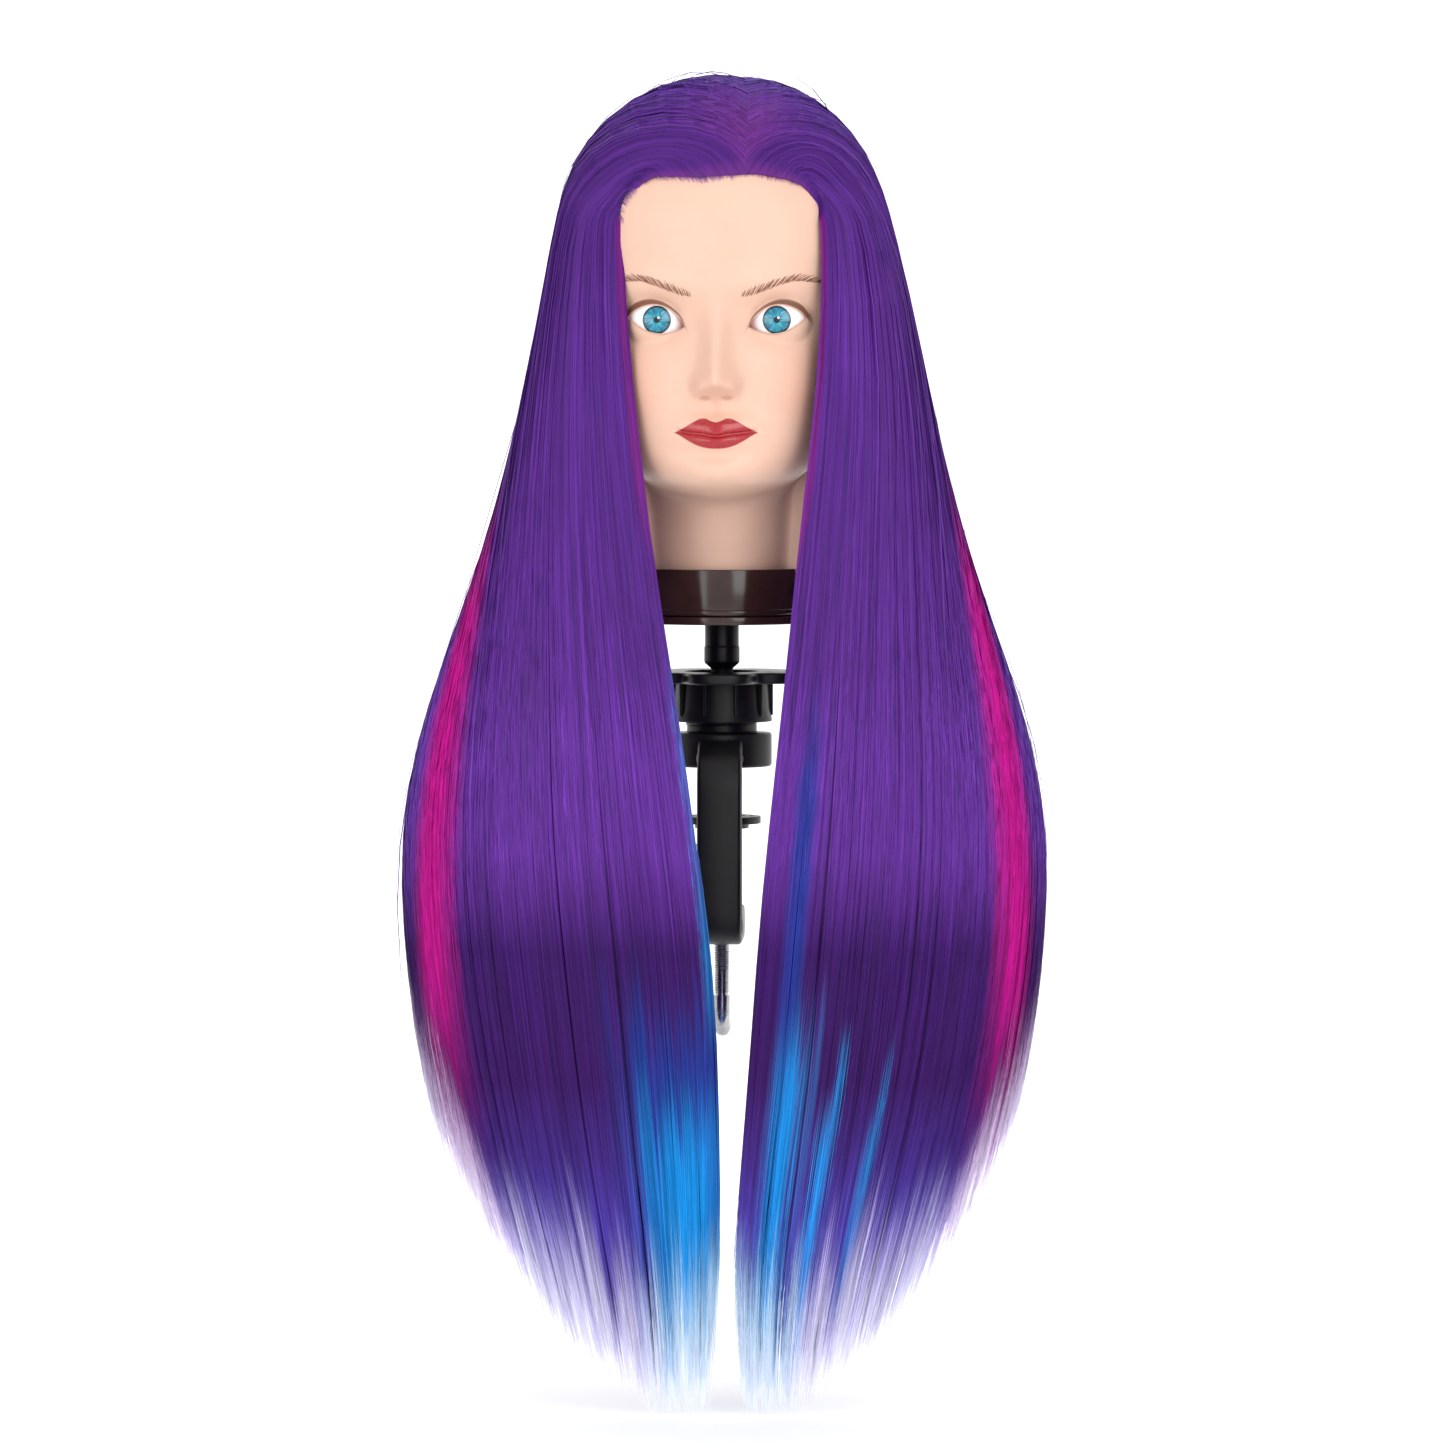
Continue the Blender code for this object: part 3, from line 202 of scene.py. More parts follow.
# Where the hair at each share of the way round is rooted: up the temple, along the hairline to the
# parting and back over the top, as (share, X, Y, height).
HAIR_ROOTS = {
    -1: (
        (0, -46, -74, 200), (0.04, -44, -76, 210), (0.08, -38, -79, 219), (0.13, -31, -82, 223),
        (0.25, -8, -86, 221.5), (0.34, 9, -86, 223), (0.40, 20, -85.5, 224.5), (0.50, 21, -72, 243),
        (0.65, 20, -40, 262), (0.80, 14, 5, 273), (0.9, 8, 42, 267), (1, 4, 70, 252),
    ),
    1: (
        (0, 50, -72, 200), (0.04, 49.5, -74, 208), (0.08, 47, -76, 215), (0.13, 43.5, -78, 219),
        (0.22, 34, -80, 221.5), (0.32, 23, -84, 223.5), (0.40, 11, -85.5, 224.5), (0.50, 12, -72, 243),
        (0.65, 9, -40, 262), (0.80, 4, 5, 273), (0.9, 0, 42, 267), (1, -4, 70, 252),
    ),
}
# How the hair leaves its roots, (share, outwards, backwards, up), and how far up it is already
# falling straight, (share, height over the dome's foot).
ROOT_LIFT = (
    (0, 0, 1, 5), (0.08, 3, 2, 10), (0.2, 5, 6, 20), (0.4, 7, 15, 34), (0.5, 13, 13, 22),
    (0.7, 23, 8, 4), (1, 6, 16, 0),
)
FALL_LENGTH = ((0, 6), (0.08, 14), (0.3, 34), (0.5, 44), (1, 42))
# Where the hair ends at each share of the way round.
HAIR_ENDS = (
    (0, -384), (0.18, -386), (0.3, -370), (0.45, -350), (0.55, -324), (0.62, -298), (0.72, -272),
    (0.85, -248), (1, -244),
)
END_SCATTER = 84
ON_SCALP = 5  # the layer of hair on the scalp, over which the curtains' thickness grows
LEAST_COVER = 2.4  # strands over the closed body of hair
DOME_STEPS = 13
FALL_STEPS = 15
ROOT_V = 0.8  # the strands' map: the curtains lie below this height on it, the dome above


# ---- table clamp, in metres ---------------------------------------------------------------------
FRAME_LOW, FRAME_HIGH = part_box("clamp_frame")
NUT_LOW, NUT_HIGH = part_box("star_nut")
PAD_LOW, PAD_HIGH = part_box("pressure_pad")
SCREW_LOW, SCREW_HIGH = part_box("clamp_screw")
POST_LOW, POST_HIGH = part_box("ball_post")
SLEEVE_LOW, SLEEVE_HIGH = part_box("fluted_sleeve")
COLLAR_LOW, COLLAR_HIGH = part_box("collar_ring")
PLATE_LOW, PLATE_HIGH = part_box("base_plate")
CUP_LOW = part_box("swivel_cup")[0]
SPINE_OUTSIDE, SPINE_DEPTH = -FRAME_LOW.y, 20 * MM
SPINE_INSIDE = SPINE_OUTSIDE - SPINE_DEPTH
FRAME_WIDTH = 22 * MM
GROOVE_DEPTH = 4 * MM
ARM_HEIGHT = 17.5 * MM
ARM_BOTTOM = FRAME_LOW.z
ARM_TOP = ARM_BOTTOM + ARM_HEIGHT
JAW_HEIGHT = 17 * MM
JAW_RADIUS = FRAME_HIGH.x
JAW_ROUND = 2 * MM
THREAD_RADIUS = JAW_RADIUS - 6.5 * MM
THREAD_TOP = FRAME_HIGH.z
SIDE_AXES = ((0, -1, 0), (0, 0, 1), (1, 0, 0))
FLAT_AXES = ((1, 0, 0), (0, 1, 0), (0, 0, 1))

# ---- stage, in metres ---------------------------------------------------------------------------
FLOOR_SPAN, WALL_HEIGHT, SWEEP = 9, 6, 1.5
FLOOR_GAP = 2 * MM


class HairSettings(bpy.types.PropertyGroup):
    """Sizes and colours of the hair."""

    strand_width: bpy.props.FloatProperty(
        name="Strand width", description="Width of one ribbon of fibres",
        default=0.62 * MM, unit="LENGTH",
    )
    strands: bpy.props.IntProperty(
        name="Strands", description="Strands in each outer piece of hair",
        default=3500, min=100, max=3600,
    )
    # Painted shade: the hair's ramp paints this colour where the curtains turn under; the hairline bristles
    # take it as a darker tone at random.
    dark: bpy.props.FloatVectorProperty(
        name="Shadowed purple", description="Colour where the curtains turn under",
        default=(0.034, 0.004, 0.100), subtype="COLOR",
    )
    purple: bpy.props.FloatVectorProperty(
        name="Purple", description="Colour of most of the hair",
        default=(0.098, 0.022, 0.245), subtype="COLOR",
    )
    violet: bpy.props.FloatVectorProperty(
        name="Violet", description="Colour over the crown and near the tips",
        default=(0.070, 0.040, 0.360), subtype="COLOR",
    )
    magenta: bpy.props.FloatVectorProperty(
        name="Magenta", description="Colour of the outer dyed streaks",
        default=(0.390, 0.001, 0.190), subtype="COLOR",
    )
    blue: bpy.props.FloatVectorProperty(
        name="Blue", description="Colour of the inner dyed locks",
        default=(0.004, 0.250, 0.680), subtype="COLOR",
    )
    pale: bpy.props.FloatVectorProperty(
        name="Pale tips", description="Colour that the tips fade to",
        default=(0.500, 0.440, 0.820), subtype="COLOR",
    )


class SkinSettings(bpy.types.PropertyGroup):
    """Colours of the vinyl head and its paint."""

    skin: bpy.props.FloatVectorProperty(
        name="Vinyl", description="Colour of the vinyl skin",
        default=(0.690, 0.440, 0.335), subtype="COLOR",
    )
    blush: bpy.props.FloatVectorProperty(
        name="Blush", description="Warm tint of the cheeks and the nose",
        default=(0.680, 0.345, 0.255), subtype="COLOR",
    )
    lips: bpy.props.FloatVectorProperty(
        name="Lips", description="Colour of the painted lips",
        default=(0.400, 0.006, 0.014), subtype="COLOR",
    )
    brow: bpy.props.FloatVectorProperty(
        name="Brows", description="Colour of the painted brows and lid lines",
        default=(0.130, 0.042, 0.018), subtype="COLOR",
    )
    iris: bpy.props.FloatVectorProperty(
        name="Iris", description="Colour of the irises",
        default=(0.006, 0.260, 0.400), subtype="COLOR",
    )


class ClampSettings(bpy.types.PropertyGroup):
    """Colours of the clamp, the collar and the metal."""

    black: bpy.props.FloatVectorProperty(
        name="Clamp", description="Colour of the clamp's plastic",
        default=(0.006, 0.006, 0.007), subtype="COLOR",
    )
    brown: bpy.props.FloatVectorProperty(
        name="Collar", description="Colour of the collar's plastic",
        default=(0.030, 0.012, 0.010), subtype="COLOR",
    )
    zinc: bpy.props.FloatVectorProperty(
        name="Zinc", description="Colour of the plated steel",
        default=(0.500, 0.500, 0.510), subtype="COLOR",
    )
    grey: bpy.props.FloatVectorProperty(
        name="Socket", description="Colour of the parts inside",
        default=(0.300, 0.300, 0.310), subtype="COLOR",
    )


class StageSettings(bpy.types.PropertyGroup):
    """The studio round the object."""

    turned: bpy.props.FloatProperty(
        name="View turned", description="How far round the camera stands",
        default=math.radians(1.8), subtype="ANGLE",
    )
    raised: bpy.props.FloatProperty(
        name="View raised", description="How far above level the camera looks from",
        default=math.radians(2.6), subtype="ANGLE",
    )
    away: bpy.props.FloatProperty(
        name="Camera distance", description="From the camera to the head's axis",
        default=5.0, unit="LENGTH",
    )
    span: bpy.props.FloatProperty(
        name="Span", description="Width of what the camera sees at the head",
        default=0.7225, unit="LENGTH",
    )
    key: bpy.props.FloatProperty(
        name="Key light", description="Power of the large front light", default=22, unit="POWER"
    )
    wall: bpy.props.FloatVectorProperty(
        name="Backdrop", description="Colour of the floor and the wall",
        default=(0.93, 0.93, 0.93), subtype="COLOR",
    )


# ---- shape helpers ------------------------------------------------------------------------------
def smoothstep(low, high, value):
    t = np.clip((np.asarray(value, float) - low) / (high - low), 0, 1)
    return t * t * (3 - 2 * t)


def between(rows, where):
    """The columns of a table at these places, on smooth curves through its rows."""
    table = np.array(rows, float)
    known = table[:, 0]
    at = np.clip(np.asarray(where, float), known[0], known[-1])
    after = np.clip(np.searchsorted(known, at, side="right"), 1, len(known) - 1)
    low, high = table[after - 1], table[after]
    before, beyond = table[np.maximum(after - 2, 0)], table[np.minimum(after + 1, len(known) - 1)]
    span = high[..., :1] - low[..., :1]
    t = (at[..., None] - low[..., :1]) / span
    slope_low = (high - before) / (high[..., :1] - before[..., :1]) * span
    slope_high = (beyond - low) / (beyond[..., :1] - low[..., :1]) * span
    found = (2 * t**3 - 3 * t**2 + 1) * low + (t**3 - 2 * t**2 + t) * slope_low
    found += (3 * t**2 - 2 * t**3) * high + (t**3 - t**2) * slope_high
    return [found[..., column] for column in range(1, table.shape[1])]


def straight_between(rows, where):
    """The columns of a table at these places, on straight lines through its rows."""
    table = np.array(rows, float)
    return [np.interp(where, table[:, 0], table[:, column]) for column in range(1, table.shape[1])]


def unit(vectors):
    return vectors / np.maximum(np.linalg.norm(vectors, axis=-1, keepdims=True), 1e-12)


def deselect():
    if bpy.context.mode != "OBJECT":
        bpy.ops.object.mode_set(mode="OBJECT")
    bpy.ops.object.select_all(action="DESELECT")


def activate(obj):
    deselect()
    obj.select_set(True)
    bpy.context.view_layer.objects.active = obj


def apply_place(obj):
    activate(obj)
    bpy.ops.object.transform_apply(location=True, rotation=True, scale=True)


def apply_modifiers(obj):
    activate(obj)
    for modifier in list(obj.modifiers):
        bpy.ops.object.modifier_apply(modifier=modifier.name)


def face_outwards(obj):
    activate(obj)
    bpy.ops.object.mode_set(mode="EDIT")
    bpy.ops.mesh.select_all(action="SELECT")
    bpy.ops.mesh.normals_make_consistent(inside=False)
    bpy.ops.object.mode_set(mode="OBJECT")


def close_up(obj):
    """Fills the open edges of a mesh and turns its faces outwards."""
    activate(obj)
    bpy.ops.object.mode_set(mode="EDIT")
    bpy.ops.mesh.select_mode(type="EDGE")
    bpy.ops.mesh.select_all(action="DESELECT")
    bpy.ops.mesh.select_non_manifold()
    bpy.ops.mesh.fill_holes(sides=0)
    bpy.ops.object.mode_set(mode="OBJECT")
    face_outwards(obj)


def mesh_piece(name, points, faces, smooth=True):
    """A new mesh object from arrays of points, in metres, and of equally long faces."""
    points, faces = np.asarray(points, np.float32), np.asarray(faces, np.int32)
    count, corners = faces.shape
    mesh = bpy.data.meshes.new(name)
    mesh.vertices.add(len(points))
    mesh.vertices.foreach_set("co", points.ravel())
    mesh.loops.add(count * corners)
    mesh.loops.foreach_set("vertex_index", faces.ravel())
    mesh.polygons.add(count)
    mesh.polygons.foreach_set("loop_start", np.arange(count, dtype=np.int32) * corners)
    mesh.polygons.foreach_set("loop_total", np.full(count, corners, np.int32))
    mesh.update(calc_edges=True)
    mesh.validate()
    if smooth:
        mesh.shade_smooth()
    obj = bpy.data.objects.new(name, mesh)
    bpy.context.scene.collection.objects.link(obj)
    return obj


def map_corners(obj, coordinates):
    """Gives each corner the map place of its point, on the map that the hair's colours are drawn on."""
    mesh = obj.data
    corner = np.empty(len(mesh.loops), np.int32)
    mesh.loops.foreach_get("vertex_index", corner)
    layer = mesh.uv_layers.new(name="OFBake", do_init=False)
    layer.uv.foreach_set("vector", np.asarray(coordinates, np.float32)[corner].ravel())


def ring_faces(rows, columns, closed):
    """The four-sided faces of a grid whose rows may close on themselves."""
    last = columns if closed else columns - 1
    row, column = np.meshgrid(np.arange(rows - 1), np.arange(last), indexing="ij")
    row, column = row.ravel(), column.ravel()
    beside = (column + 1) % columns
    low, high = row * columns, (row + 1) * columns
    return np.stack([low + column, low + beside, high + beside, high + column], -1)


def finish_piece(obj, name, slot, material, body=None, stands_for=()):
    obj.name = obj.data.name = name
    obj.data.materials.clear()
    obj.data.materials.append(material)
    if body:
        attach(obj, body)
    if stands_for:
        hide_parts(*stands_for)
    return obj


# ---- node helpers -------------------------------------------------------------------------------
class Nodes:
    """Adds nodes to a tree; an input is another node's socket or a plain value."""

    def __init__(self, tree):
        self.tree = tree

    def add(self, kind, inputs=(), **settings):
        node = self.tree.nodes.new("ShaderNode" + kind)
        for key, value in settings.items():
            setattr(node, key, value)
        for key, value in dict(inputs).items():
            self.put(node.inputs[key], value)
        return node

    def put(self, socket, value):
        if isinstance(value, bpy.types.NodeSocket):
            self.tree.links.new(value, socket)
        elif value is not None:
            opaque = socket.type == "RGBA" and len(value) == 3
            socket.default_value = (*value, 1) if opaque else value

    def math(self, operation, a, b=None, clamp=False):
        node = self.add("Math", operation=operation, use_clamp=clamp)
        self.put(node.inputs[0], a)
        self.put(node.inputs[1], b)
        return node.outputs[0]

    def plus(self, a, b, clamp=False):
        return self.math("ADD", a, b, clamp)

    def minus(self, a, b):
        return self.math("SUBTRACT", a, b)

    def times(self, a, b):
        return self.math("MULTIPLY", a, b)

    def divided(self, a, b):
        return self.math("DIVIDE", a, b)

    def smooth(self, value, low, high, first=0.0, last=1.0):
        inputs = {"Value": value, "From Min": low, "From Max": high, "To Min": first, "To Max": last}
        return self.add("MapRange", inputs, interpolation_type="SMOOTHSTEP").outputs["Result"]

    def mix(self, share, a, b, blend="MIX"):
        node = self.add("Mix", data_type="RGBA", blend_type=blend)
        self.put(node.inputs[0], share)
        self.put(node.inputs[6], a)
        self.put(node.inputs[7], b)
        return node.outputs[2]

    def noise(self, place, scale, detail=2.0, roughness=0.5, dimensions="3D"):
        inputs = {"Vector": place, "Scale": scale, "Detail": detail, "Roughness": roughness}
        return self.add("TexNoise", inputs, noise_dimensions=dimensions).outputs["Fac"]

    def curve(self, value, points):
        node = self.add("FloatCurve", {"Value": value})
        line = node.mapping.curves[0]
        while len(line.points) < len(points):
            line.points.new(0.5, 0.5)
        for point, (x, y) in zip(line.points, points):
            point.location = (x, y)
        node.mapping.update()
        return node.outputs[0]

    def group_input(self):
        return self.tree.nodes.new("NodeGroupInput").outputs

    def group_output(self):
        return self.tree.nodes.new("NodeGroupOutput").inputs

    def group(self, tree, **inputs):
        node = self.tree.nodes.new("ShaderNodeGroup")
        node.node_tree = tree
        for key, value in inputs.items():
            self.put(node.inputs[key.replace("_", " ")], value)
        return node.outputs


def new_group(name, inputs, outputs):
    """A node group with plain number inputs; outputs are (name, kind)."""
    tree = bpy.data.node_groups.new(name, "ShaderNodeTree")
    for label, default in inputs:
        kind = "NodeSocketVector" if default is None else "NodeSocketFloat"
        socket = tree.interface.new_socket(name=label, in_out="INPUT", socket_type=kind)
        if default is not None:
            socket.default_value = default
    for label, kind in outputs:
        tree.interface.new_socket(name=label, in_out="OUTPUT", socket_type=kind)
    nodes = Nodes(tree)
    return tree, nodes, nodes.group_input(), nodes.group_output()


def shared_group(name, make):
    """A node group that is built once."""
    return bpy.data.node_groups.get(name) or make()


def dye_band():
    """A mask for a dyed streak: a band across the map, between two heights, with soft edges."""
    inputs = [("Across", 0.5), ("Height", 0.5), ("Centre", 0.5), ("Half width", 0.1), ("Soft", 0.03)]
    inputs += [("Bottom", 0.0), ("Top", 1.0), ("Fade", 0.1)]
    tree, nodes, given, out = new_group("dye_band", inputs, [("Mask", "NodeSocketFloat")])
    off = nodes.math("ABSOLUTE", nodes.minus(given["Across"], given["Centre"]))
    inside = nodes.minus(given["Half width"], off)
    side = nodes.smooth(inside, nodes.times(given["Soft"], -1.0), given["Soft"])
    low = nodes.minus(given["Bottom"], given["Fade"])
    high = nodes.plus(given["Top"], given["Fade"])
    up = nodes.smooth(given["Height"], low, given["Bottom"])
    down = nodes.smooth(given["Height"], high, given["Top"])
    nodes.put(out["Mask"], nodes.times(side, nodes.times(up, down)))
    return tree


def moulded_grain():
    """Fine unevenness of moulded plastic: a bump height, and a mask for handled patches."""
    inputs = [("Place", None), ("Grain", 1200.0), ("Patches", 22.0)]
    outputs = [("Height", "NodeSocketFloat"), ("Handled", "NodeSocketFloat")]
    tree, nodes, given, out = new_group("moulded_grain", inputs, outputs)
    fine = nodes.noise(given["Place"], given["Grain"], 3.0, 0.6)
    broad = nodes.noise(given["Place"], given["Patches"], 4.0, 0.6)
    nodes.put(out["Height"], fine)
    nodes.put(out["Handled"], nodes.smooth(broad, 0.35, 0.7))
    return tree


def new_material(name):
    material = bpy.data.materials.new(name)
    material.use_nodes = True
    shader = material.node_tree.nodes["Principled BSDF"]
    return material, Nodes(material.node_tree), shader


def moulded_plastic(name, colour, roughness, grain=0.06, handled=0.10, coat=0.0):
    """Plastic out of a mould: fine grain, and paler, duller patches where it has been handled."""
    material, nodes, shader = new_material(name)
    place = nodes.add("TexCoord").outputs["Object"]
    group = nodes.group(shared_group("moulded_grain", moulded_grain), Place=place)
    lighter = tuple(min(1.0, c * 1.5 + 0.004) for c in colour)
    nodes.put(shader.inputs["Base Color"], nodes.mix(group["Handled"], colour, lighter))
    rough = nodes.smooth(group["Handled"], 0.0, 1.0, roughness, roughness + handled)
    nodes.put(shader.inputs["Roughness"], rough)
    bump = nodes.add("Bump", {"Strength": grain, "Distance": 0.0004, "Height": group["Height"]})
    nodes.put(shader.inputs["Normal"], bump.outputs["Normal"])
    shader.inputs["Specular IOR Level"].default_value = 0.3
    shader.inputs["Coat Weight"].default_value = coat
    shader.inputs["Coat Roughness"].default_value = 0.12
    return material


def plated_steel(name, colour):
    """Bright zinc plating, finely drawn along its length and dulled in patches."""
    material, nodes, shader = new_material(name)
    place = nodes.add("TexCoord").outputs["Object"]
    drawn = nodes.add("Mapping", {"Vector": place, "Scale": (1.0, 1.0, 0.05)}).outputs["Vector"]
    lines = nodes.noise(drawn, 2600.0, 2.0)
    group = nodes.group(shared_group("moulded_grain", moulded_grain), Place=place, Patches=90.0)
    dull = tuple(c * 0.72 for c in colour)
    nodes.put(shader.inputs["Base Color"], nodes.mix(group["Handled"], colour, dull))
    shader.inputs["Metallic"].default_value = 1.0
    nodes.put(shader.inputs["Roughness"], nodes.smooth(group["Handled"], 0.0, 1.0, 0.20, 0.42))
    bump = nodes.add("Bump", {"Strength": 0.12, "Distance": 0.0002, "Height": lines})
    nodes.put(shader.inputs["Normal"], bump.outputs["Normal"])
    return material


# ---- hair ---------------------------------------------------------------------------------------
def hair_edge(side, share, height):
    """The hair's outer surface at each share of the way round and height, as (x, y) in mm."""
    (inner,) = between(INNER_EDGES[side], height)
    widest, front_y, widest_y, back_x, back_y, turn, _ = between(HAIR_OUTLINE, height)
    angle = np.radians(turn * share)
    c, s = np.cos(angle), np.sin(angle)
    x = np.where(c > 0, inner + (widest - inner) * s, back_x + (widest - back_x) * s)
    y = widest_y - np.where(c > 0, widest_y - front_y, back_y - widest_y) * c
    lean = HAIR_LEAN * (1 - smoothstep(150, 230, height))
    return np.stack([side * x + lean, y], -1)


def curtain_points(side, share, height, deep):
    """Points deep mm inside the curtain's outer surface, and the way outwards there."""
    here = hair_edge(side, share, height)
    along = unit(hair_edge(side, share + 0.01, height) - hair_edge(side, share - 0.01, height))
    outwards = side * np.stack([along[..., 1], -along[..., 0]], -1)
    place = here - outwards * deep[..., None]
    return (
        np.concatenate([place, height[..., None]], -1),
        np.concatenate([outwards, np.zeros_like(height)[..., None]], -1),
    )


def onto_dome(points, deep):
    """Moves points straight towards or away from the dome's centre until they are deep mm inside it."""
    centre = np.array([0.0, 0.0, DOME_CENTRE])
    towards = unit(points - centre)
    low, high = np.full(points.shape[:-1], 20.0), np.full(points.shape[:-1], 140.0)
    for _ in range(22):
        middle = (low + high) / 2
        place = centre + towards * middle[..., None]
        half, front, back = between(HAIR_DOME, place[..., 2])
        reach = np.where(place[..., 1] < 0, front, back)
        outside = (place[..., 0] / half) ** 2 + (place[..., 1] / reach) ** 2 > 1
        outside |= place[..., 2] > HAIR_DOME[-1][0]
        low, high = np.where(outside, low, middle), np.where(outside, middle, high)
    return centre + towards * (low - deep)[..., None], towards


def hair_routes(side, share, deep, ends, bend=0.0, steps=FALL_STEPS, aside=0.0):
    """Routes from the roots over the dome and down the curtain: points, the ways outwards and the
    places up the hair's map. Deep is a function of height that gives mm for each route."""
    t = np.linspace(0, 1, DOME_STEPS)[None, :, None]
    x, y, z = straight_between(HAIR_ROOTS[side], share)
    x = x + aside * smoothstep(0.34, 0.46, share)
    start = np.stack([x, y, z], -1)[:, None]
    foot = np.full_like(share, DOME_FOOT)
    end = np.concatenate([hair_edge(side, share, foot), foot[:, None]], -1)[:, None]
    outwards, backwards, up = straight_between(ROOT_LIFT, share)
    leave = start + np.stack([side * outwards, backwards, up], -1)[:, None]
    (fall,) = straight_between(FALL_LENGTH, share)
    arrive = end + np.stack([-side * fall * 0.12, 0 * fall, fall], -1)[:, None]
    dome = start * (1 - t) ** 3 + 3 * leave * t * (1 - t) ** 2 + 3 * arrive * t**2 * (1 - t) + end * t**3
    near = smoothstep(198, 224, dome[..., 2])[..., None]
    sunk = 0.6 + 2.6 * smoothstep(0.34, 0.46, share)
    inside = deep(dome[..., 2]) + sunk[:, None] * (1 - smoothstep(0, 0.2, t[..., 0]))
    on_dome, away = onto_dome(dome, inside)
    grid_share = share[:, None] + np.zeros(DOME_STEPS)
    on_edge, level = curtain_points(side, grid_share, dome[..., 2], inside)
    on_edge = dome + (on_edge - dome) * (smoothstep(0.5, 1.0, t))
    points = on_dome * near + on_edge * (1 - near)
    normals = away * near + level * (1 - near)
    down = np.linspace(0, 1, steps + 1)[None, 1:]
    height = DOME_FOOT + (ends[:, None] - DOME_FOOT) * down
    below, level = curtain_points(side, np.clip(share[:, None] + bend * down**2, 0, 1), height, deep(height))
    points = np.concatenate([points, below], 1)
    normals = unit(np.concatenate([normals, level], 1))
    for _ in range(2):
        points[:, 1:-1] = (points[:, :-2] + 2 * points[:, 1:-1] + points[:, 2:]) / 4
    over = 1 - (1 - ROOT_V) * t[..., 0] + np.zeros((len(share), 1))
    under = ROOT_V * (height - HAIR_TIP) / (DOME_FOOT - HAIR_TIP)
    return points, normals, np.concatenate([over, under], 1)


def ribbons(name, points, normals, across, up, width, tilt):
    """Flat ribbons along routes, each turned a little about its own length; places are in mm."""
    count, steps = points.shape[:2]
    along = unit(np.gradient(points, axis=1))
    beside = unit(np.cross(along, normals))
    outwards = np.cross(beside, along)
    turned = beside * np.cos(tilt)[:, None, None] + outwards * np.sin(tilt)[:, None, None]
    half = turned * width[..., None] / 2
    corners = np.stack([points - half, points + half], 2).reshape(-1, 3)
    place = corners * MM + (0, 0, COLLAR_FOOT)
    first = (np.arange(count)[:, None] * steps + np.arange(steps - 1)[None]).ravel() * 2
    faces = np.stack([first, first + 1, first + 3, first + 2], -1)
    obj = mesh_piece(name, place, faces)
    spread = np.stack([across - 0.0008, across + 0.0008], -1)[:, None] + np.zeros((1, steps, 1))
    map_corners(obj, np.stack([spread.ravel(), np.repeat(up.ravel(), 2)], -1))
    return obj


def hair_room(height):
    """How thick the hair is at a height: the curtain's thickness below, and what lies on the scalp above."""
    thick = between(HAIR_OUTLINE, height)[-1]
    return ON_SCALP + (thick - ON_SCALP) * (1 - smoothstep(40, 150, height))


def thinned_edges(share):
    """The share of that thickness which is left at each place round the hair: less at its two edges."""
    return 0.38 + 0.62 * np.sin(np.pi * np.clip(share, 0, 1)) ** 0.6


def layer_depth(share, shells):
    """How deep, in mm, routes lie at a height: shells is 0 outside and 1 against the scalp or inside the
    curtain."""
    rounded = thinned_edges(share)

    def deep(height):
        return shells[:, None] * hair_room(height) * rounded[:, None]

    return deep


def lock_pull(share, height_part, random, locks=46):
    """Draws neighbouring strands together towards their ends, into locks."""
    edges = np.sort(random.uniform(0, 1, locks))
    middle = (edges[:-1] + edges[1:]) / 2
    nearest = middle[np.abs(share[:, None] - middle[None]).argmin(1)]
    return (nearest - share) * height_part


def hair_strands(side, name, count, shares, shells, settings, random, top=None, stray=0.0):
    """Ribbons of fibres over a share of the hair, between two depths."""
    measure = np.linspace(0, 1, 200)
    edge = hair_edge(side, measure, np.full_like(measure, -119.0))
    length = np.concatenate([[0], np.cumsum(np.linalg.norm(np.diff(edge, axis=0), axis=1))])
    low, high = np.interp(shares, measure, length)
    share = np.interp(random.uniform(low, high, count), length, measure)
    shell = shells[0] + (shells[1] - shells[0]) * random.uniform(0, 1, count) ** 1.3
    loose = random.uniform(0, 1, count) < stray
    (ends,) = straight_between(HAIR_ENDS, share)
    ends = ends + END_SCATTER * random.uniform(0, 1, count) ** 0.85 - 4 + random.normal(0, 3, count)
    ends = np.clip(ends, HAIR_TIP, None)
    bend = (lock_pull(share, 0.55, random) + random.normal(0, 0.004, count))[:, None]
    deep = layer_depth(share, shell)
    aside = random.normal(0, 1.6, count)
    points, normals, up = hair_routes(side, share, deep, ends, bend, aside=aside)
    drift = np.where(loose, random.uniform(1.5, 6.0, count), 0)[:, None]
    way = np.linspace(0, 1, points.shape[1])[None] * random.uniform(0.8, 3.6, count)[:, None]
    points = points + normals * (drift * (0.5 - 0.5 * np.cos(TURN * way)))[..., None]
    if top is not None:
        keep = DOME_STEPS + int(top * FALL_STEPS)
        points, normals, up = points[:, keep:], normals[:, keep:], up[:, keep:]
    part = np.linspace(0, 1, points.shape[1])[None]
    width = settings.strand_width / MM * random.uniform(0.7, 1.3, count)[:, None]
    width = width * (0.55 + 0.45 * smoothstep(0, 0.2, part)) * (1 - 0.88 * smoothstep(0.72, 1.0, part))
    tilt = random.normal(0, 0.32, count)
    across = np.clip(share + random.normal(0, 0.006, count), 0.002, 0.998)
    return ribbons(name, points, normals, across, np.clip(up, 0.002, 0.998), width, tilt)


